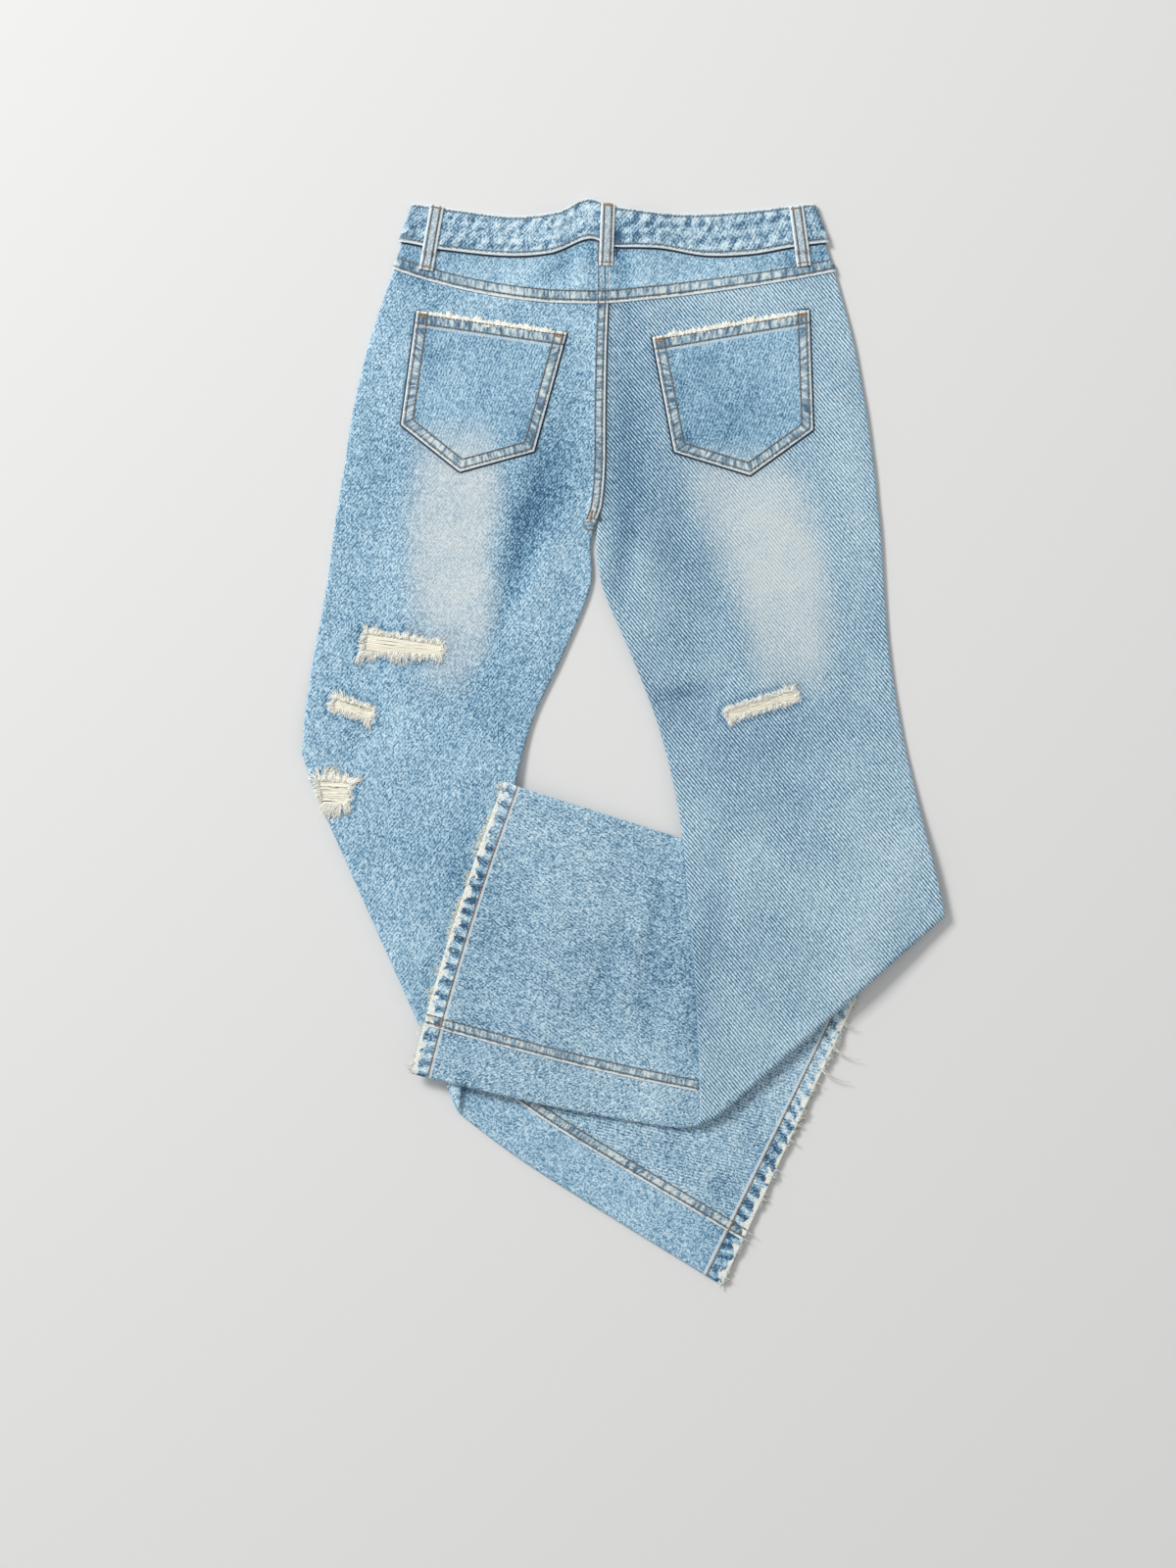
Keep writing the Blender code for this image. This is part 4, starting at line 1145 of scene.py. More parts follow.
def tubes(name, paths, radii, sides, material, seed, stands_for=None):
    """Many short threads as one mesh, each round a path, closed at both ends."""
    number, length = paths.shape[:2]
    paths[..., 2] = np.maximum(paths[..., 2], radii - UNDER)
    along = unit(np.gradient(paths, axis=1))
    side = unit(np.cross(along, (0.13, 0.07, 1.0)))
    over = np.cross(side, along)
    turn = (2 * math.pi * np.arange(sides) / sides)[:, None]
    spokes = np.cos(turn) * side[:, :, None] + np.sin(turn) * over[:, :, None]
    radii = np.broadcast_to(radii, (number, length))[:, :, None, None]
    ring = paths[:, :, None] + radii * spokes
    index = np.arange(number * length * sides).reshape(number, length, sides)
    after = np.roll(index, -1, axis=2)
    walls = places(index[:, :-1], index[:, 1:], after[:, 1:], after[:, :-1])
    faces = walls.reshape(-1, 4).tolist() + index[:, 0].tolist() + index[:, -1, ::-1].tolist()
    mesh = bpy.data.meshes.new(name)
    mesh.from_pydata((ring.reshape(-1, 3) * MM).tolist(), [], faces, shade_flat=False)
    tone = np.repeat(np.random.default_rng(seed).random(number), length * sides)
    mesh.attributes.new("tone", "FLOAT", "POINT").data.foreach_set("value", tone.astype(np.float32))
    return add_piece(name, mesh, material, stands_for)


def on_surface(surface, points, lifts):
    """Points moved onto a piece's outer face, and then off it by the lifts."""
    found = np.empty_like(points)
    for i, (point, lift) in enumerate(zip(points, lifts)):
        place, facing, _, _ = SURFACES[surface].find_nearest(point)
        found[i] = place + facing * lift
    return found


def stitch_row(surface, path, pitch=3.3):
    """One row of stitches along a path on a piece."""
    path = np.asarray(path, float)
    run = run_along(path)
    starts = np.arange(0.4, run[-1] - pitch * 0.5, pitch)
    along = (starts[:, None] + pitch * np.array([0.04, 0.26, 0.66, 0.88])).ravel()
    where = places(*(np.interp(along, run, part) for part in path.T))
    lifts = np.tile([-0.12, 0.2, 0.2, -0.12], len(starts))
    return on_surface(surface, where, lifts).reshape(-1, 4, 3)


def tack(surface, centre, angle, length, width=2.4):
    """A bar tack: a short, dense row of stitches side by side."""
    c, s = math.cos(math.radians(angle)), math.sin(math.radians(angle))
    points = []
    for i, place in enumerate(np.arange(-length / 2, length / 2, TACK_PITCH)):
        lean = 0.18 * (-1) ** i
        for share in (-0.5, -0.3, 0.3, 0.5):
            along, across = place + lean * share, width * share
            points.append(centre + np.array([along * c - across * s, along * s + across * c, 0]))
    lifts = np.tile([-0.1, 0.3, 0.3, -0.1], len(points) // 4)
    return on_surface(surface, np.array(points), lifts).reshape(-1, 4, 3)


def sew(name, rows, material, seed, radius=0.34):
    """All the stitches of one thread as a piece."""
    thickness = np.array([0.7, 1.0, 1.0, 0.7]) * radius
    return tubes(name, np.concatenate(rows), thickness, 4, material, seed)


def leg_line(leg, v, across, side, lay):
    """A path on one side of a straight leg, laid in place. side is 1 on the back."""
    return lay(places(*leg.at(*np.broadcast_arrays(v, across)).T, HALF * side))


def whiskers(base, heading, length, lift, curl, lay, points=6):
    """Loose ends: paths that leave base along heading, bend sideways and rise by lift."""
    t = np.linspace(0, 1, points)
    reach = (length[:, None] * heading)[:, None]
    swing = ((curl * length)[:, None] * left_of(heading))[:, None]
    flat = base[:, None, :2] + reach * t[:, None] + swing * (t ** 2 - 0.3 * t)[:, None]
    path = places(*np.moveaxis(flat, -1, 0), base[:, 2:3] + lift[:, None] * np.sin(t * 2.2))
    return lay(path.reshape(-1, 3)).reshape(len(base), points, 3)


# ---------------------------------------------------------------- finishes

def paint(red, green, blue):
    """A colour from its 8-bit values, as a shader takes it."""
    parts = [part / 255 for part in (red, green, blue)]
    return (*[p / 12.92 if p <= 0.04045 else ((p + 0.055) / 1.055) ** 2.4 for p in parts], 1.0)


class Wire:
    """A socket with arithmetic: an expression on wires adds its Math nodes."""

    def __init__(self, tree, socket=None):
        self.tree, self.socket = tree, socket

    def node(self, kind, settings=None, inputs=None, output=0):
        """Add a node: its settings first, then the values or wires of its sockets."""
        made = self.tree.nodes.new(kind)
        for key, value in (settings or {}).items():
            if key == "stops":
                stops = made.color_ramp.elements
                while len(stops) < len(value):
                    stops.new(0.5)
                for stop, (place, colour) in zip(stops, value):
                    stop.position, stop.color = place, colour
            else:
                setattr(made, key, value)
        for key, value in (inputs or {}).items():
            if isinstance(value, Wire):
                self.tree.links.new(value.socket, made.inputs[key])
            else:
                made.inputs[key].default_value = value
        return Wire(self.tree, made.outputs[output])

    def math(self, operation, *values, clamp=False):
        """A Math node's result."""
        return self.node("ShaderNodeMath", {"operation": operation, "use_clamp": clamp},
                         dict(enumerate(values)))

    def __add__(self, other):
        return self.math("ADD", self, other)

    __radd__ = __add__

    def __sub__(self, other):
        return self.math("SUBTRACT", self, other)

    def __rsub__(self, other):
        return self.math("SUBTRACT", other, self)

    def __mul__(self, other):
        return self.math("MULTIPLY", self, other)

    __rmul__ = __mul__

    def size(self):
        """The value without its sign."""
        return self.math("ABSOLUTE", self)

    def clipped(self):
        """The value, kept between 0 and 1."""
        return self.math("ADD", self, 0.0, clamp=True)

    def eased(self, low, high, start=0.0, end=1.0):
        """Ease from start at low to end at high."""
        return self.node("ShaderNodeMapRange", {"interpolation_type": "SMOOTHSTEP"},
                         {"Value": self, "From Min": low, "From Max": high,
                          "To Min": start, "To Max": end})

    def ramp(self, stops):
        """The colour at this value along a row of colours."""
        return self.node("ShaderNodeValToRGB", {"stops": stops}, {"Fac": self})

    def blend(self, first, second):
        """Mix two colours by this wire."""
        return self.node("ShaderNodeMix", {"data_type": "RGBA"},
                         {0: self, 6: first, 7: second}, output=2)

    def split(self):
        """A vector's three parts."""
        return [self.node("ShaderNodeSeparateXYZ", None, {0: self}, output=i) for i in range(3)]


def noise(x, y, size, seed, detail=1.0, stretch=1.0):
    """Noise about 0, in patches of this size in millimetres, longer by stretch along y."""
    place = x.node("ShaderNodeCombineXYZ", None,
                   {0: x * (1 / size), 1: y * (1 / (size * stretch)), 2: float(seed)})
    return x.node("ShaderNodeTexNoise", {"noise_dimensions": "3D"},
                  {"Vector": place, "Scale": 1.0, "Detail": detail, "Roughness": 0.6}) - 0.5


def new_material(name, roughness, metallic=0.0):
    """A material, the start of its wires, and its shader."""
    material = bpy.data.materials.new(name)
    material.use_nodes = True
    shader = material.node_tree.nodes["Principled BSDF"]
    shader.inputs["Roughness"].default_value = roughness
    shader.inputs["Metallic"].default_value = metallic
    return material, Wire(material.node_tree), shader


DENIM = (
    (0.0, paint(46, 78, 108)), (0.25, paint(89, 131, 159)), (0.5, paint(144, 178, 199)),
    (0.75, paint(186, 213, 227)), (1.0, paint(224, 238, 242)),
)
BLUER = (
    (0.0, paint(44, 82, 114)), (0.25, paint(88, 132, 161)), (0.5, paint(143, 180, 203)),
    (0.75, paint(185, 214, 230)), (1.0, paint(222, 239, 246)),
)
CREAM = paint(228, 230, 218)
WHITE = paint(226, 233, 235)
WHITE_WARP = paint(246, 247, 244)
LADDER = ((0.0, paint(70, 102, 130)), (0.5, paint(147, 170, 182)), (1.0, paint(218, 225, 223)))
BLEACHED = ((0.0, paint(140, 162, 178)), (0.5, paint(196, 207, 211)), (1.0, paint(232, 236, 234)))
# Painted shade along a row of stitches, where it draws the cloth down
ROW_SHADE = paint(104, 118, 122)      # cloth drawn down along a row of stitches
# Painted shadow beside an edge that lies over the cloth
PAINTED_SHADOW = paint(44, 60, 76)        # cloth in the shade of an edge that lies on it
# Painted highlight on ridges and edges, partly pale wear
SHEEN_AND_WEAR = paint(204, 217, 224)

# The distances that each net measures, in its order, and after them the distance from the
# edges that lie over the piece
LONG_SEAM, HEM, OUTER_EDGE, LAPS = range(4)
YOKE_CENTRE, YOKE_FOOT, YOKE_WAIST = range(3)
BAND_SEAM, BAND_CREST = 1, 2
POCKET_MOUTH, POCKET_SIDE = range(2)
LOOP_SIDE, LOOP_END = range(2)

# What is drawn along a seam or an edge, by one of those distances
Line = namedtuple("Line", "measure place half_width strength colour")
# A band is darker and follows the puckers: partly wear, partly painted shade in their hollows
Band = namedtuple("Band", "measure reach depth swing")          # darker, and moved by the puckers
Ladder = namedtuple("Ladder", "measure reach strength run")     # pale and dark rungs
Worn = namedtuple("Worn", "measure reach wander strength")      # bare yarn at the edge itself


def of_kind(details, kind):
    """The details of one kind."""
    return [detail for detail in details if isinstance(detail, kind)]


def up_to(distance, reach, strength=1.0):
    """strength within this distance of a seam, easing to 0 beyond it."""
    return distance.eased(reach - 0.8, reach + 0.8, strength, 0.0)


def kept(wire, name):
    """The three measures kept under a name at each vertex."""
    return wire.node("ShaderNodeAttribute", {"attribute_name": name}, output=1).split()


def woven(x, y, across, speck, grit, underside, twill, grain, fleck, seed):
    """Twill lines, flecks and single yarns, about 0, with painted shade between the yarns; the underside
    shows less of its twill.
    """
    yarns = (x + speck * 0.8) * (1 / YARN)
    column = x.math("FLOOR", yarns)
    row = x.math("FLOOR", (y + noise(y, x, 1.2, seed + 3) * 1.1) * (1 / FLOAT) + column * 0.37)
    shade_between_yarns = (x.math("FRACT", yarns) - 0.5).size()
    place = x.node("ShaderNodeCombineXYZ", None, {0: column, 1: row, 2: float(seed)})
    yarn = x.node("ShaderNodeTexWhiteNoise", {"noise_dimensions": "3D"}, {"Vector": place}) - 0.5
    lines = across * (2 * math.pi / TWILL_PITCH) + noise(x, y, 6.0, seed + 5) * 1.6
    weave = lines.math("SINE", lines) * (1.0 - underside * 0.85) * twill
    weave = weave + speck * (0.8 * grain) + grit * (0.07 * grain)
    weave = weave + yarn * (underside * (0.8 - fleck) + fleck) * 1.8
    return weave - shade_between_yarns * 0.7 + 0.17


def denim(name, twill, dye=DENIM, shade=0.0, slant=52, seed=1, grain=1.0, fleck=1.0, bleach=0.0,
          details=()):
    """Washed denim. twill is the strength of its diagonal, and slant the diagonal's angle."""
    material, wire, shader = new_material(name, 0.92)
    uv = wire.node("ShaderNodeUVMap", {"uv_map": "cloth"})
    x, y, _ = (part * 1000.0 for part in uv.split())
    fade, wear_and_shade, tear = kept(wire, "marks")
    under_edge, underside, _ = kept(wire, "laps")
    distances = [*kept(wire, "seams"), under_edge]
    turn = math.radians(slant)
    across = x * math.sin(turn) + y * math.cos(turn)
    along = x * math.cos(turn) - y * math.sin(turn)

    speck = noise(x, y, 1.05, seed, detail=2.0, stretch=2.6)
    speck = speck + noise(across, along, 1.15, seed + 6, stretch=3.0)
    grit = noise(x, y, 3.0, seed + 1, detail=2.0)
    streak = noise(x, y, 1.8, seed + 2, stretch=9.0)
    cloud = noise(x, y, 38.0, seed + 4, detail=2.0)
    weave = woven(x, y, across, speck, grit, underside, twill, grain, fleck, seed)

    # The dye, with a painted shadow round the rips under their fringes, and the bleach
    level = weave * 0.42 + streak * 0.32 + cloud * 0.22 + (0.5 + shade)
    # Painted shade and light of the creases and puckers, with wear and the dye's tints, near seams and all
    # over
    for measure, reach, depth, swing in of_kind(details, Band):
        level = level + up_to(distances[measure], reach) * (wear_and_shade * swing - depth)
    level = level + wear_and_shade * 0.17 + tear.eased(4.0, 10.0, -0.16, 0.0)
    bleached = (weave * 0.16 + (level - shade) * 0.34 + 0.33).ramp(BLEACHED)
    pale = (fade + (cloud + grit * 0.8) * fade + bleach).clipped()
    colour = pale.blend(level.ramp(dye), bleached)

    # Rungs between two rows of stitches, one after another along the run of the seam
    runs = {"x": x, "y": y, "slant": across}
    for measure, reach, strength, run in of_kind(details, Ladder):
        if run == "round":
            runs[run] = x.math("ARCTAN2", y, x) * ROUND_POCKET
        rungs = noise(runs[run], distances[measure], 2.6, seed + 8 + measure, stretch=4.0)
        rungs = (rungs * 3.1 + weave * 0.22 + wear_and_shade * 0.28 + fade * 0.3 + 0.5).ramp(LADDER)
        colour = up_to(distances[measure], reach, strength).blend(colour, rungs)

    # Bare yarn round the rips and along worn edges
    by_rip = (tear + grit * 4.0 + speck * 2.0).eased(0.8, 3.2, 0.85, 0.0)
    colour = by_rip.blend(colour, WHITE)
    for measure, reach, wander, strength in of_kind(details, Worn):
        patches = noise(x, y, 8.0, seed + 7 + measure, detail=3.0) * (7 * wander)
        bare = (distances[measure] + patches + speck * 1.5).eased(reach * 0.6, reach, strength, 0.0)
        thread = (speck * 1.3 + grit * 0.9 + 0.6).ramp((
            (0.0, paint(150, 166, 176)), (0.45, CREAM if wander > 1 else WHITE), (1.0, WHITE_WARP)))
        colour = bare.blend(colour, thread)

    # Lines along seams and edges: painted shade along rows of stitches and beside edges that lie over the
    # cloth, and pale lines, partly worn and partly painted highlight
    for measure, place, half_width, strength, line_colour in of_kind(details, Line):
        off = (distances[measure] - place).size()
        on = off.eased(half_width * 0.35, half_width, strength, 0.0)
        colour = on.blend(colour, line_colour)
    finish(material, shader, colour, weave * 0.5, 0.0003)
    return material


def finish(material, shader, colour, height, distance):
    """Give a shader its colour and the fine relief of its surface."""
    links = material.node_tree.links
    bump = height.node("ShaderNodeBump", None, {"Strength": 0.4, "Distance": distance, "Height": height})
    links.new(colour.socket, shader.inputs["Base Color"])
    links.new(bump.socket, shader.inputs["Normal"])


def thread_finish(name, dark, light):
    """Spun cotton thread: each length has its own shade between dark and light."""
    material, wire, shader = new_material(name, 0.85)
    tone = wire.node("ShaderNodeAttribute", {"attribute_name": "tone"}, output=2)
    place = wire.node("ShaderNodeTexCoord", output=3)
    fibre = wire.node("ShaderNodeTexNoise", None, {"Vector": place, "Scale": 1400.0, "Detail": 1.0}) - 0.5
    colour = (tone * 0.8 + fibre * 0.9 + 0.1).clipped().blend(dark, light)
    finish(material, shader, colour, fibre, 0.0001)
    return material


def worn_metal(name):
    """Dull brass of a jeans button, mottled."""
    material, wire, shader = new_material(name, 0.4, 0.9)
    place = wire.node("ShaderNodeTexCoord", output=3)
    mottle = wire.node("ShaderNodeTexNoise", None, {"Vector": place, "Scale": 900.0, "Detail": 4.0})
    colour = mottle.ramp(((0.3, paint(120, 98, 66)), (0.7, paint(188, 160, 112))))
    material.node_tree.links.new(colour.socket, shader.inputs["Base Color"])
    material.node_tree.links.new((mottle * 0.4 + 0.25).socket, shader.inputs["Roughness"])
    return material


def plain_floor():
    """A matt, pale floor."""
    material, _, shader = new_material("pale_floor", 0.9)
    shader.inputs["Base Color"].default_value = (0.74, 0.74, 0.73, 1)
    return material


# ---------------------------------------------------------------- finishes of the pieces

def sewn(measure, rows, run, rungs, first, second, first_width=1.3):
    """A seam sewn in two rows: rungs between them, and painted shade along each row, where the cloth is
    drawn down.
    """
    return (Ladder(measure, rows[1], rungs, run), Line(measure, rows[0], first_width, first, ROW_SHADE),
            Line(measure, rows[1], 1.3, second, ROW_SHADE))


# The hem: a band darker in its puckers' hollows and paler on their tops, partly wear and partly painted
# shade; bare yarn at the edge; a pale line on the ridge above the stitching, partly painted highlight;
# painted shade along the stitching
HEM_DETAILS = (
    Band(HEM, 13.0, 0.06, 0.24), Worn(HEM, 4.8, 4.2, 1.0),
    Line(HEM, 15.9, 1.6, 0.9, SHEEN_AND_WEAR), Line(HEM, HEM_ROW, 1.2, 0.5, ROW_SHADE),
)
# A pale line along the outer edge, partly worn and partly painted highlight
EDGE_WEAR_AND_SHEEN = Line(OUTER_EDGE, 0.4, 1.9, 0.3, SHEEN_AND_WEAR)
# Painted shadow beside the edges of the yoke and the pocket that lie over the back
SHADOW_UNDER_LAPS = (Line(LAPS, 0.4, 1.9, 1.0, PAINTED_SHADOW), Line(LAPS, 1.0, 4.5, 0.12, PAINTED_SHADOW))
FRONT_DETAILS = (
    *sewn(LONG_SEAM, INSEAM_ROWS, "y", 0.8, 0.7, 0.6), Worn(LONG_SEAM, 1.9, 0.6, 0.9),
    EDGE_WEAR_AND_SHEEN, *HEM_DETAILS,
)
BACK_FINISH = {
    "left": denim("denim_back_left", dye=BLUER, twill=0.22, slant=128, seed=2, fleck=0.82, details=(
        *sewn(LONG_SEAM, SEAT_ROWS, "y", 0.8, 0.7, 0.65), Worn(LONG_SEAM, 1.9, 0.3, 0.9),
        EDGE_WEAR_AND_SHEEN, *HEM_DETAILS, *SHADOW_UNDER_LAPS)),
    "right": denim("denim_back_right", twill=0.9, slant=50, seed=12, grain=2.6, fleck=0.25, details=(
        # Painted shadow beside the left panel's edge, which lies over this one at the seat seam
        Line(LONG_SEAM, 0.3, 1.8, 0.9, PAINTED_SHADOW), Line(LONG_SEAM, 1.0, 5.0, 0.15, PAINTED_SHADOW),
        EDGE_WEAR_AND_SHEEN, *HEM_DETAILS, *SHADOW_UNDER_LAPS)),
}
FRONT_FINISH = {
    "left": denim("denim_front_left", twill=0.3, slant=118, seed=22, fleck=0.85, details=FRONT_DETAILS),
    "right": denim("denim_front_right", twill=0.2, slant=60, seed=32, fleck=0.85, details=FRONT_DETAILS),
}
YOKE_FINISH = denim(
    "pale_denim_yoke", dye=BLUER, twill=0.2, slant=-55, seed=42, fleck=0.7, details=(
        *sewn(YOKE_FOOT, YOKE_ROWS, "x", 0.8, 0.75, 0.6),
        Worn(YOKE_FOOT, 1.9, 0.3, 1.0), Worn(YOKE_CENTRE, 1.2, 0.3, 0.5),
        # Painted shadow below the waistband's edge, which lies over the yoke
        Line(YOKE_WAIST, 0.4, 2.0, 1.0, PAINTED_SHADOW), Line(YOKE_WAIST, 1.0, 4.5, 0.12, PAINTED_SHADOW)))
BAND_FINISH = denim(
    "pale_denim_waistband", dye=BLUER, twill=0.35, slant=-50, seed=52, shade=-0.03, details=(
        # Colour that follows the dimples, partly wear and partly painted shade in their hollows, and painted
        # shade along both rows of stitches
        Band(BAND_SEAM, 50.0, 0.0, 0.22), Ladder(BAND_SEAM, 50.0, 0.22, "slant"),
        Worn(BAND_CREST, 1.5, 0.3, 0.8), Worn(BAND_SEAM, 1.8, 0.3, 1.0),
        Line(BAND_SEAM, 3.1, 1.2, 0.5, ROW_SHADE), Line(BAND_CREST, 2.6, 1.1, 0.4, ROW_SHADE)))
POCKET_FINISH = denim(
    "denim_pocket", dye=BLUER, twill=0.25, slant=112, seed=62, shade=-0.02, fleck=0.65, details=(
        *sewn(POCKET_SIDE, POCKET_SIDE_ROWS, "round", 0.85, 0.7, 0.7, 1.1),
        Ladder(POCKET_MOUTH, POCKET_MOUTH_ROWS[1], 0.9, "x"),
        Worn(POCKET_SIDE, 1.5, 0.3, 0.9), Worn(POCKET_MOUTH, 3.2, 2.0, 1.0),
        # A pale line below the mouth's stitching, partly painted highlight, and painted shade along the row
        Line(POCKET_MOUTH, 13.2, 1.7, 0.6, SHEEN_AND_WEAR), Line(POCKET_MOUTH, POCKET_MOUTH_ROWS[1], 1.2, 0.6, ROW_SHADE)))
LOOP_FINISH = denim(
    "faded_denim_loop", twill=0.12, slant=-40, seed=72, grain=0.8, bleach=0.75, details=(
        Worn(LOOP_SIDE, 1.9, 0.2, 0.95), Worn(LOOP_END, 1.4, 0.3, 0.8),
        # Painted shade along the loop's stitching
        Line(LOOP_SIDE, 3.0, 1.3, 0.85, ROW_SHADE)))
FLY_FINISH = denim("denim_fly", twill=0.1, seed=82)

SEAM_THREAD = thread_finish("grey_brown_thread", paint(80, 80, 84), paint(138, 131, 124))
HEM_THREAD = thread_finish("brown_hem_thread", paint(112, 88, 72), paint(170, 130, 100))
BAR_THREAD = thread_finish("golden_bar_thread", paint(146, 108, 74), paint(204, 168, 126))
BAND_THREAD = thread_finish("pale_band_thread", paint(92, 92, 92), paint(152, 146, 136))
WEFT_YARN = thread_finish("cream_weft_yarn", paint(228, 223, 202), paint(252, 249, 237))
WARP_YARN = thread_finish("white_frayed_yarn", paint(246, 245, 234), paint(255, 255, 248))
HEM_YARN = thread_finish("cream_frayed_yarn", paint(196, 201, 192), paint(244, 245, 236))


# ---------------------------------------------------------------- cloth

for name, leg in LEGS.items():
    # At the centre back the left half is folded over the right one
    gap, back_rise, yoke_rise = (0.0, 0.9, 0.7) if name == "left" else (SEAM, 0.0, 0.0)
    torn = [ragged(corners, 100 + 10 * i + len(name)) for i, corners in enumerate(leg.rips.values())]
    back, front = back_net(leg, gap), front_net(leg, gap)
    for outline in torn:
        tear(back, outline)
    split_at_fold(back, leg)
    split_at_fold(front, leg)
    shell(
        f"back_panel_{name}", back, leg_relief(leg, back_rise, 11), leg.lay_back, BACK_FINISH[name],
        f"back_leg_{name}", torn, under_edges(leg, POCKETS[name]))
    shell(
        f"front_panel_{name}", front, leg_relief(leg, 0.7, 12), leg.lay_front, FRONT_FINISH[name],
        f"front_leg_{name}")
    shell(
        f"yoke_panel_{name}", yoke_net(leg, gap), yoke_relief(yoke_rise, 13), leg.lay_back,
        YOKE_FINISH, f"yoke_{name}")
    shell(
        f"patch_pocket_{name}", pocket_net(POCKETS[name]), pocket_relief, settled, POCKET_FINISH,
        f"pocket_{name}")
shell(
    "waistband_cloth", band_net(), band_relief, settled, BAND_FINISH, "waistband")
for name, (top, bottom) in LOOPS.items():
    leg = LEGS["left" if name == "left" else "right"]
    shell(
        f"loop_{name}", loop_net(leg, top, bottom), loop_relief, settled, LOOP_FINISH,
        f"belt_loop_{name}")
shell(
    "fly_shield_cloth", fly_net(), no_relief, settled, FLY_FINISH, "fly_shield")


# ---------------------------------------------------------------- sewing

def centre_rows(offset):
    """Stitches down the centre back, on the left panel and on its yoke."""
    leg = LEGS["left"]
    runs = (("back_panel_left", np.linspace(0.02, CROTCH - 0.02, 160)),
            ("yoke_panel_left", np.linspace(-0.97, -0.01, 60)))
    return [stitch_row(surface, leg_line(leg, v, leg.width(v) - offset, 1, leg.lay_back))
            for surface, v in runs]


def yoke_row(name, leg, above):
    """Stitches along a yoke's lapped seam, this far above its edge."""
    width = float(leg.width(0.0))
    across = np.linspace(HALF, width - (0.5 if name == "left" else 1.0), 120)
    seam, waist = (leg.share_point(v, across / width) for v in (0.0, -1.0))
    line = -above / np.linalg.norm(seam - waist, axis=-1)
    return stitch_row(f"yoke_panel_{name}", leg_line(leg, line, across, 1, leg.lay_back))


def hem_rows(name, leg):
    """Stitches across the back of a hem, round its inner edge and across its front."""
    v = leg.line_at(HEM_ROW)
    width, seam = float(leg.width(v)), float(leg.width(v) - leg.seam_in(v))
    runs = (
        (f"back_panel_{name}", np.linspace(1.5, width - 1.5, 160), 1, leg.lay_back),
        (f"back_panel_{name}", np.linspace(width - 1.5, seam + 1, 40), -1, leg.lay_back),
        (f"front_panel_{name}", np.linspace(1.5, seam - 0.5, 140), -1, leg.lay_front),
    )
    return [stitch_row(surface, leg_line(leg, v, across, side, lay), 3.0)
            for surface, across, side, lay in runs]


def inseam_row(name, leg, offset):
    """Stitches down the front of a leg, beside its inseam."""
    v = np.linspace(CROTCH + 0.15, leg.line_at(0.8), 500)
    across = leg.width(v) - leg.seam_in(v) - offset
    return stitch_row(f"front_panel_{name}", leg_line(leg, v, across, -1, leg.lay_front))


def edge_ways(start, end, middle):
    """The way along an edge, and the way from it towards a middle."""
    along = unit(end - start)
    inward = left_of(along)
    return along, inward if (middle - start) @ inward > 0 else -inward


def crossing(start_a, along_a, start_b, along_b):
    """Where two straight lines cross."""
    apart = start_b - start_a
    turn = along_a[0] * along_b[1] - along_a[1] * along_b[0]
    return start_a + along_a * (apart[0] * along_b[1] - apart[1] * along_b[0]) / turn


def over_pocket(start, end):
    """A straight path over a pocket's cloth."""
    where = between(start, end, np.linspace(0, 1, 60)).T
    return places(*where, POCKET_TOP + pucker(*where))


def pocket_rows(name):
    """Stitches round a pocket's sides and foot, and along its top, each in two rows."""
    corners = np.array(POCKETS[name])
    middle = corners.mean(axis=0)
    surface = f"patch_pocket_{name}"
    top_way, below = edge_ways(corners[0], corners[1], middle)
    top = corners[0] + below * 1.2, top_way
    rows = []
    for inset in POCKET_SIDE_ROWS:
        lines = [top]
        for start, end in zip(corners[1:], np.roll(corners, -1, axis=0)[1:]):
            along, inward = edge_ways(start, end, middle)
            lines.append((start + inward * inset, along))
        turns = [crossing(*first, *second) for first, second in zip(lines, lines[1:] + [top])]
        rows += [stitch_row(surface, over_pocket(*ends)) for ends in zip(turns, turns[1:])]
    for inset in POCKET_MOUTH_ROWS:
        start, end = corners[:2] + below * inset
        rows.append(stitch_row(surface, over_pocket(start + top_way * 1.5, end - top_way * 1.5)))
    return rows


def pocket_bars(name):
    """Two bar tacks side by side at each end of a pocket's top."""
    corners = np.array(POCKETS[name])
    along, below = edge_ways(corners[0], corners[1], corners.mean(axis=0))
    slope = math.degrees(math.atan2(along[1], along[0]))
    spots = [corner + along * inward + below * inset
             for corner, inward in zip(corners, (6.2, -6.2)) for inset in (2.6, 4.6)]
    return [tack(f"patch_pocket_{name}", (*spot, POCKET_TOP), slope, 6.0, 1.4) for spot in spots]


def hem_bar(name, leg):
    """A bar tack along the hem's stitches, beside the inseam."""
    v = leg.line_at(HEM_ROW)
    across = leg.width(v) - leg.seam_in(v) + np.array([-9.5, -6.0, -2.5])
    start, middle, end = leg_line(leg, v, across, -1, leg.lay_front)
    slope = math.degrees(math.atan2(end[1] - start[1], end[0] - start[0]))
    return tack(f"front_panel_{name}", middle, slope, 7.5, 1.7)


def loop_line(name):
    """The top and bottom of a belt loop, and the ways down and across it."""
    top, bottom = np.array(LOOPS[name])
    down = unit(bottom - top)
    return top, bottom, down, left_of(down)


def loop_rows(name):
    """Stitches down both sides of a belt loop."""
    top, bottom, down, across = loop_line(name)
    rows = []
    for offset in (-3.3, 3.3):
        start, end = top + down * 2.5 + across * offset, bottom - down * 2.5 + across * offset
        path = places(*between(start, end, np.linspace(0, 1, 50)).T, OVER_LOOPS)
        rows.append(stitch_row(f"loop_{name}", path, 2.9))
    return rows


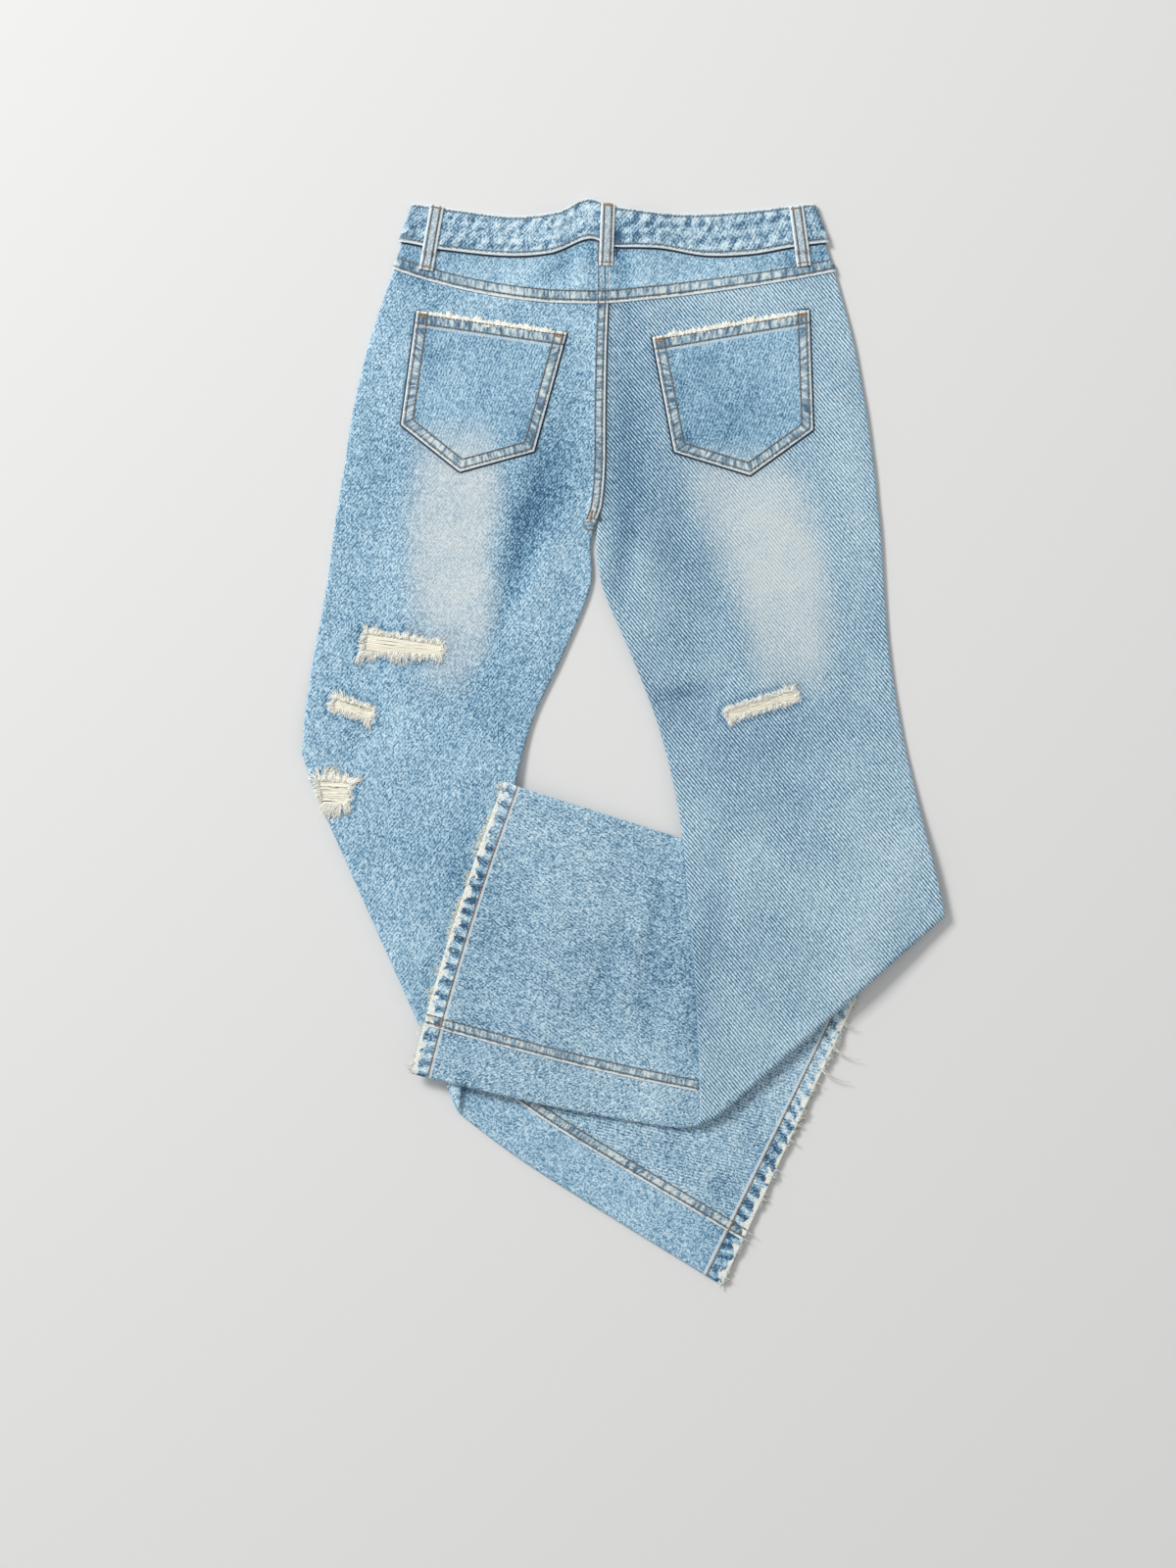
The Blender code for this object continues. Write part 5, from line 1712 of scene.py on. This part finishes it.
def loop_bars(name):
    """A bar tack across each end of a belt loop."""
    top, bottom, down, across = loop_line(name)
    slope = math.degrees(math.atan2(across[1], across[0]))
    return [tack(f"loop_{name}", (*spot, OVER_LOOPS), slope, 10.5, 1.2)
            for spot in (top + down * 2.0, bottom - down * 3.2)]


def fork_bar():
    """A bar tack where the seat seam meets the inseams."""
    x, y = LEGS["left"].share_point(CROTCH - 0.15, 1.0) + (-5.0, 3.0)
    return tack("back_panel_left", (x, y, 2 * HALF + 1), 78, 9.0, 2.0)


seat_rows = [row for offset in SEAT_ROWS for row in centre_rows(offset)]
seat_rows += [yoke_row(*item, above) for item in LEGS.items() for above in YOKE_ROWS]
inseam_rows = [inseam_row(*item, offset) for item in LEGS.items() for offset in INSEAM_ROWS]
bars = [bar for item in LEGS.items() for bar in (*pocket_bars(item[0]), hem_bar(*item))]
bars += [bar for name in LOOPS for bar in loop_bars(name)]

sew("seat_stitching", seat_rows, SEAM_THREAD, 1, 0.54)
sew("inseam_stitching", inseam_rows, SEAM_THREAD, 2, 0.54)
sew("pocket_stitching", pocket_rows("left") + pocket_rows("right"), SEAM_THREAD, 3, 0.56)
sew("hem_stitching", [row for item in LEGS.items() for row in hem_rows(*item)], HEM_THREAD, 4, 0.55)
sew("waist_stitching", [stitch_row("waistband_cloth", settled(band_line(depth))) for depth in BAND_ROWS],
    BAND_THREAD, 5, 0.42)
sew("loop_stitching", [row for name in LOOPS for row in loop_rows(name)], SEAM_THREAD, 7, 0.55)
sew("bar_tacks", bars + [fork_bar()], BAR_THREAD, 6, 0.3)


# ---------------------------------------------------------------- rips and frayed edges

draw = np.random.default_rng(7)


def tufts(shares, leans, reaches, run, ends):
    """Loose ends in tufts along an edge: the place, lean, length and curl of each."""
    number = len(shares)
    curls = draw.normal(0, 0.45, number)
    shares, leans, reaches, curls = (np.repeat(part, ends) for part in (shares, leans, reaches, curls))
    number *= ends
    return (shares + draw.normal(0, 0.55, number) / run, leans + draw.normal(0, 0.17, number),
            reaches * draw.uniform(0.5, 1.05, number), curls + draw.normal(0, 0.2, number))


def frayed_edge(run, reach, ends=9, wander=0.4):
    """An uneven row of tufts along an edge of this length."""
    number = max(int(run / TUFT_PITCH), 2)
    shares = (np.arange(number) + draw.uniform(0.1, 0.9, number)) / number
    reaches = reach * draw.uniform(0.35, 1.1, number)
    return tufts(shares, draw.normal(0, wander, number), reaches, run, ends)


def turned(way, lean):
    """Ways turned to their left by angles."""
    return way * np.cos(lean)[:, None] + left_of(way) * np.sin(lean)[:, None]


def tapered(radius, end, points=6):
    """Radii along a thread that thins to this share of its radius."""
    return np.linspace(1, end, points) * radius


def weft_paths(leg, corners):
    """Threads across a rip, from side to side of it, each with its own drift and sag."""
    high_left, low_left, low_right, high_right = np.array(corners)
    count = int(np.linalg.norm(high_left - low_left) / WEFT_PITCH)
    shares = np.linspace(0.03, 0.97, count) + draw.normal(0, 0.006, count)
    starts, ends = between(low_left, high_left, shares), between(low_right, high_right, shares)
    side = unit(ends - starts)
    starts, ends = starts - side * 2.6, ends + side * 2.6
    t = np.linspace(0, 1, 15)
    swings = np.sin(math.pi * t), 0.55 * np.sin(2 * math.pi * t), 0.3 * np.sin(5 * math.pi * t)
    drift = draw.normal(0, 0.5, (count, 3)) @ swings
    path = between(starts[:, None], ends[:, None], t) + drift[..., None] * left_of(side)[:, None]
    sag = draw.uniform(-0.25, 0.25, (count, 1)) + 0.2 * draw.normal(0, 1, (count, 1)) * np.sin(3 * t)
    z = HALF - 0.45 + sag - 0.5 * np.abs(2 * t - 1) ** 6
    points = places(*np.moveaxis(path, -1, 0), z)
    return leg.lay_back(points.reshape(-1, 3)).reshape(points.shape)


def rip_fringe_paths(leg, corners, reaches, chosen):
    """Frayed warp round a rip: an uneven row along each side, and the chosen longer tufts."""
    high_left, low_left, low_right, high_right = np.array(corners)
    sides = ((high_left, high_right), (low_right, low_left), (high_right, low_right), (low_left, high_left))
    loose = []
    for number, ((start, end), reach) in enumerate(zip(sides, reaches)):
        run = np.linalg.norm(end - start)
        outward = left_of(unit(end - start))
        here = np.array([tuft[1:] for tuft in chosen if tuft[0] == number]).reshape(-1, 3)
        shares, reaches_in, leans = here.T
        for share, lean, length, curl in (
                frayed_edge(run, reach), tufts(shares, leans, reaches_in, run, 22)):
            base = between(start, end, np.clip(share, 0, 1))
            base = base - outward * draw.uniform(-0.4, 2.6, (len(share), 1))
            loose.append((base, turned(outward, lean), length, curl))
    base, heading, length, curl = (np.concatenate(part) for part in zip(*loose))
    base = places(*base.T, draw.uniform(HALF - 0.1, HALF + 0.4, len(base)))
    return whiskers(base, heading, length, draw.uniform(0.1, 1.2, len(base)), curl, leg.lay_back)


def hem_fringe_paths(leg, side, low, high, lay):
    """Frayed ends along one stretch of a hem, in patches. side is 1 on the back."""
    share, lean, length, curl = frayed_edge(high - low, 4.8, 5, 0.6)
    along = share * (high - low)
    length = np.maximum(length * (0.5 + 0.85 * np.sin(along * 0.16 + 2 * np.sin(along * 0.07))), 0.3)
    across = low + (high - low) * np.clip(share, 0, 1)
    above, beyond = (np.full(len(across), leg.line_at(distance)) for distance in (1.2, -20.0))
    start = leg.at(above, across)
    way = unit(leg.at(beyond, across * leg.width(beyond) / leg.width(leg.last)) - start)
    base = places(*start.T, side * (HALF - draw.uniform(0.1, 1.0, len(across))))
    lift = side * draw.uniform(-0.3, 0.5, len(across))
    return whiskers(base, turned(way, lean), 1.2 + length, lift, curl, lay)


def stray_path(name, share, length, lean):
    """One long thread that lies beyond a hem."""
    leg = LEGS[name]
    across = share * leg.width(leg.last)
    start, beyond = (leg.at(leg.line_at(np.array([distance])), across) for distance in (0.8, -20.0))
    heading = turned(unit(beyond - start), np.array([0.7 * lean]))
    length, lift, curl = np.array([length, -1.5, -0.8 * lean])[:, None]
    return whiskers(places(*start.T, 0.4 - HALF), heading, length, lift, curl, leg.lay_front, 12)


def pocket_fray_paths(name):
    """Frayed ends along the worn top of a pocket, in patches."""
    corners = np.array(POCKETS[name])
    along, below = edge_ways(corners[0], corners[1], corners.mean(axis=0))
    run = np.linalg.norm(corners[1] - corners[0])
    share, lean, length, curl = frayed_edge(0.8 * run, 3.2, 20, 0.8)
    share = 0.1 + 0.8 * np.clip(share, 0, 1)
    length = 1.0 + length * (0.75 + 0.55 * np.sin(share * run * 0.27))
    number = len(share)
    start = between(corners[0], corners[1], share) + below * draw.uniform(0.0, 3.6, (number, 1))
    heading = along * np.sin(lean)[:, None] - below * np.cos(lean)[:, None]
    base = places(*start.T, POCKET_TOP + pucker(*start.T) + draw.uniform(0.0, 0.4, number))
    return whiskers(base, heading, length, draw.uniform(-0.1, 0.3, number), curl, settled, 5)


frayed = {}
for name, leg in LEGS.items():
    for rip, corners in leg.rips.items():
        number = len(frayed)
        wefts = tubes(f"weft_{name}_{rip}", weft_paths(leg, corners), 0.4, 5, WEFT_YARN, 20 + number,
                      f"rip_threads_{name}_{rip}")
        paths = rip_fringe_paths(leg, corners, FRINGE[name, rip], TUFTS[name, rip])
        fringe = tubes(f"fringe_{name}_{rip}", paths, tapered(0.4, 0.45), 3, WARP_YARN, 40 + number)
        frayed[name, rip] = [wefts, fringe]

for name, leg in LEGS.items():
    width, seam_in = float(leg.width(leg.last)), float(leg.seam_in(leg.last))
    for part, side, low, high, lay, stands_for in (
            ("back", 1, 1.0, width - 1.0, leg.lay_back, f"hem_fringe_{name}_back"),
            ("front", -1, 1.0, width - seam_in, leg.lay_front, f"hem_fringe_{name}_front"),
            ("wrap", -1, width - seam_in, width - 1.0, leg.lay_back, None)):
        paths = hem_fringe_paths(leg, side, low, high, lay)
        frayed[name, part] = [tubes(f"hem_fringe_{part}_{name}", paths, tapered(0.38, 0.5), 3, HEM_YARN,
                                    60 + len(frayed), stands_for)]

tubes("stray_threads", np.concatenate([stray_path(*stray) for stray in STRAYS]),
      tapered(0.45, 0.5, 12), 4, HEM_YARN, 90)
tubes("pocket_fray", np.concatenate([pocket_fray_paths(name) for name in LEGS]),
      tapered(0.42, 0.5, 5), 3, WARP_YARN, 91)


# ---------------------------------------------------------------- button

def inset_faces(button, upwards, insets):
    """Press rings into the faces of a button that face up or down."""
    shape = bmesh.from_edit_mesh(button.data)
    for face in shape.faces:
        face.select = face.normal.z * upwards > 0.9
    bmesh.update_edit_mesh(button.data)
    for thickness, depth in insets:
        bpy.ops.mesh.inset(thickness=thickness * MM, depth=depth * MM)


def dished_button():
    """A round metal button with a raised rim and a low middle."""
    bpy.ops.object.select_all(action="DESELECT")
    x, y = waist_point(CENTRE_FRONT, 0.5) * MM
    bpy.ops.mesh.primitive_cylinder_add(
        vertices=40, radius=BUTTON_RADIUS * 0.94 * MM, depth=BUTTON_HEIGHT * MM,
        location=(x, y, BUTTON_HEIGHT / 2 * MM))
    button = bpy.context.object
    button.name = button.data.name = "jeans_button"
    bpy.ops.object.transform_apply(location=True, rotation=True, scale=True)
    bpy.ops.object.mode_set(mode="EDIT")
    bpy.ops.mesh.select_mode(type="FACE")
    inset_faces(button, -1, ((1.3, 0), (0.5, -0.45), (3.2, 0.2), (0.4, -0.25)))
    inset_faces(button, 1, ((4.2, 0),))
    bpy.ops.object.mode_set(mode="OBJECT")
    bpy.context.scene.cursor.location = (0, 0, 0)
    bpy.ops.object.origin_set(type="ORIGIN_CURSOR")
    rounding = button.modifiers.new("rounding", "BEVEL")
    rounding.width, rounding.segments, rounding.limit_method = 0.14 * MM, 2, "ANGLE"
    bpy.ops.object.modifier_apply(modifier="rounding")
    bpy.ops.object.shade_smooth_by_angle(angle=math.radians(35))
    return button


button = dished_button()
button.data.materials.append(worn_metal("worn_brass"))
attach(button, "root")
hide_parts("waist_button")


# ---------------------------------------------------------------- the frayed pieces gathered for each leg


for name, leg in LEGS.items():
    fringes = [piece for rip in leg.rips for piece in frayed[name, rip]]
    fringes += frayed[name, "back"] + frayed[name, "wrap"]


# ---------------------------------------------------------------- floor, light and camera

bpy.ops.object.select_all(action="DESELECT")
bpy.ops.mesh.primitive_plane_add(size=6, location=(0, 0, -0.0004))
floor = bpy.context.object
floor.name = "floor"
floor.data.materials.append(plain_floor())
floor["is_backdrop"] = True

world = bpy.data.worlds.new("soft_studio")
world.use_nodes = True
world.node_tree.nodes["Background"].inputs["Color"].default_value = (1.0, 1.0, 1.0, 1)
world.node_tree.nodes["Background"].inputs["Strength"].default_value = 0.5
bpy.context.scene.world = world

# One square lamp, turned to face the jeans
lamp = bpy.data.lights.new("key", "AREA")
lamp.shape, lamp.size, lamp.energy = "SQUARE", 1.6, 275
light = bpy.data.objects.new("key", lamp)
bpy.context.scene.collection.objects.link(light)
light.location = (-3.4, 3.0, 3.6)
light.rotation_euler = light.location.to_track_quat("Z", "Y").to_euler()

CAMERA_HEIGHT = 2.508
VIEW_HEIGHT = 0.008     # the level that the view's length is measured at
VIEW_LENGTH = 1.384
camera = bpy.data.cameras.new("camera")
camera.sensor_fit = "AUTO"
camera.sensor_width = 36.0
camera.lens = camera.sensor_width * (CAMERA_HEIGHT - VIEW_HEIGHT) / VIEW_LENGTH
camera.clip_start, camera.clip_end = 0.05, 20
viewer = bpy.data.objects.new("camera", camera)
viewer.location = (-0.0303, -0.0359, CAMERA_HEIGHT)
bpy.context.scene.collection.objects.link(viewer)
bpy.context.scene.camera = viewer
bpy.context.scene.view_settings.view_transform = "Standard"

low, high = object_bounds()
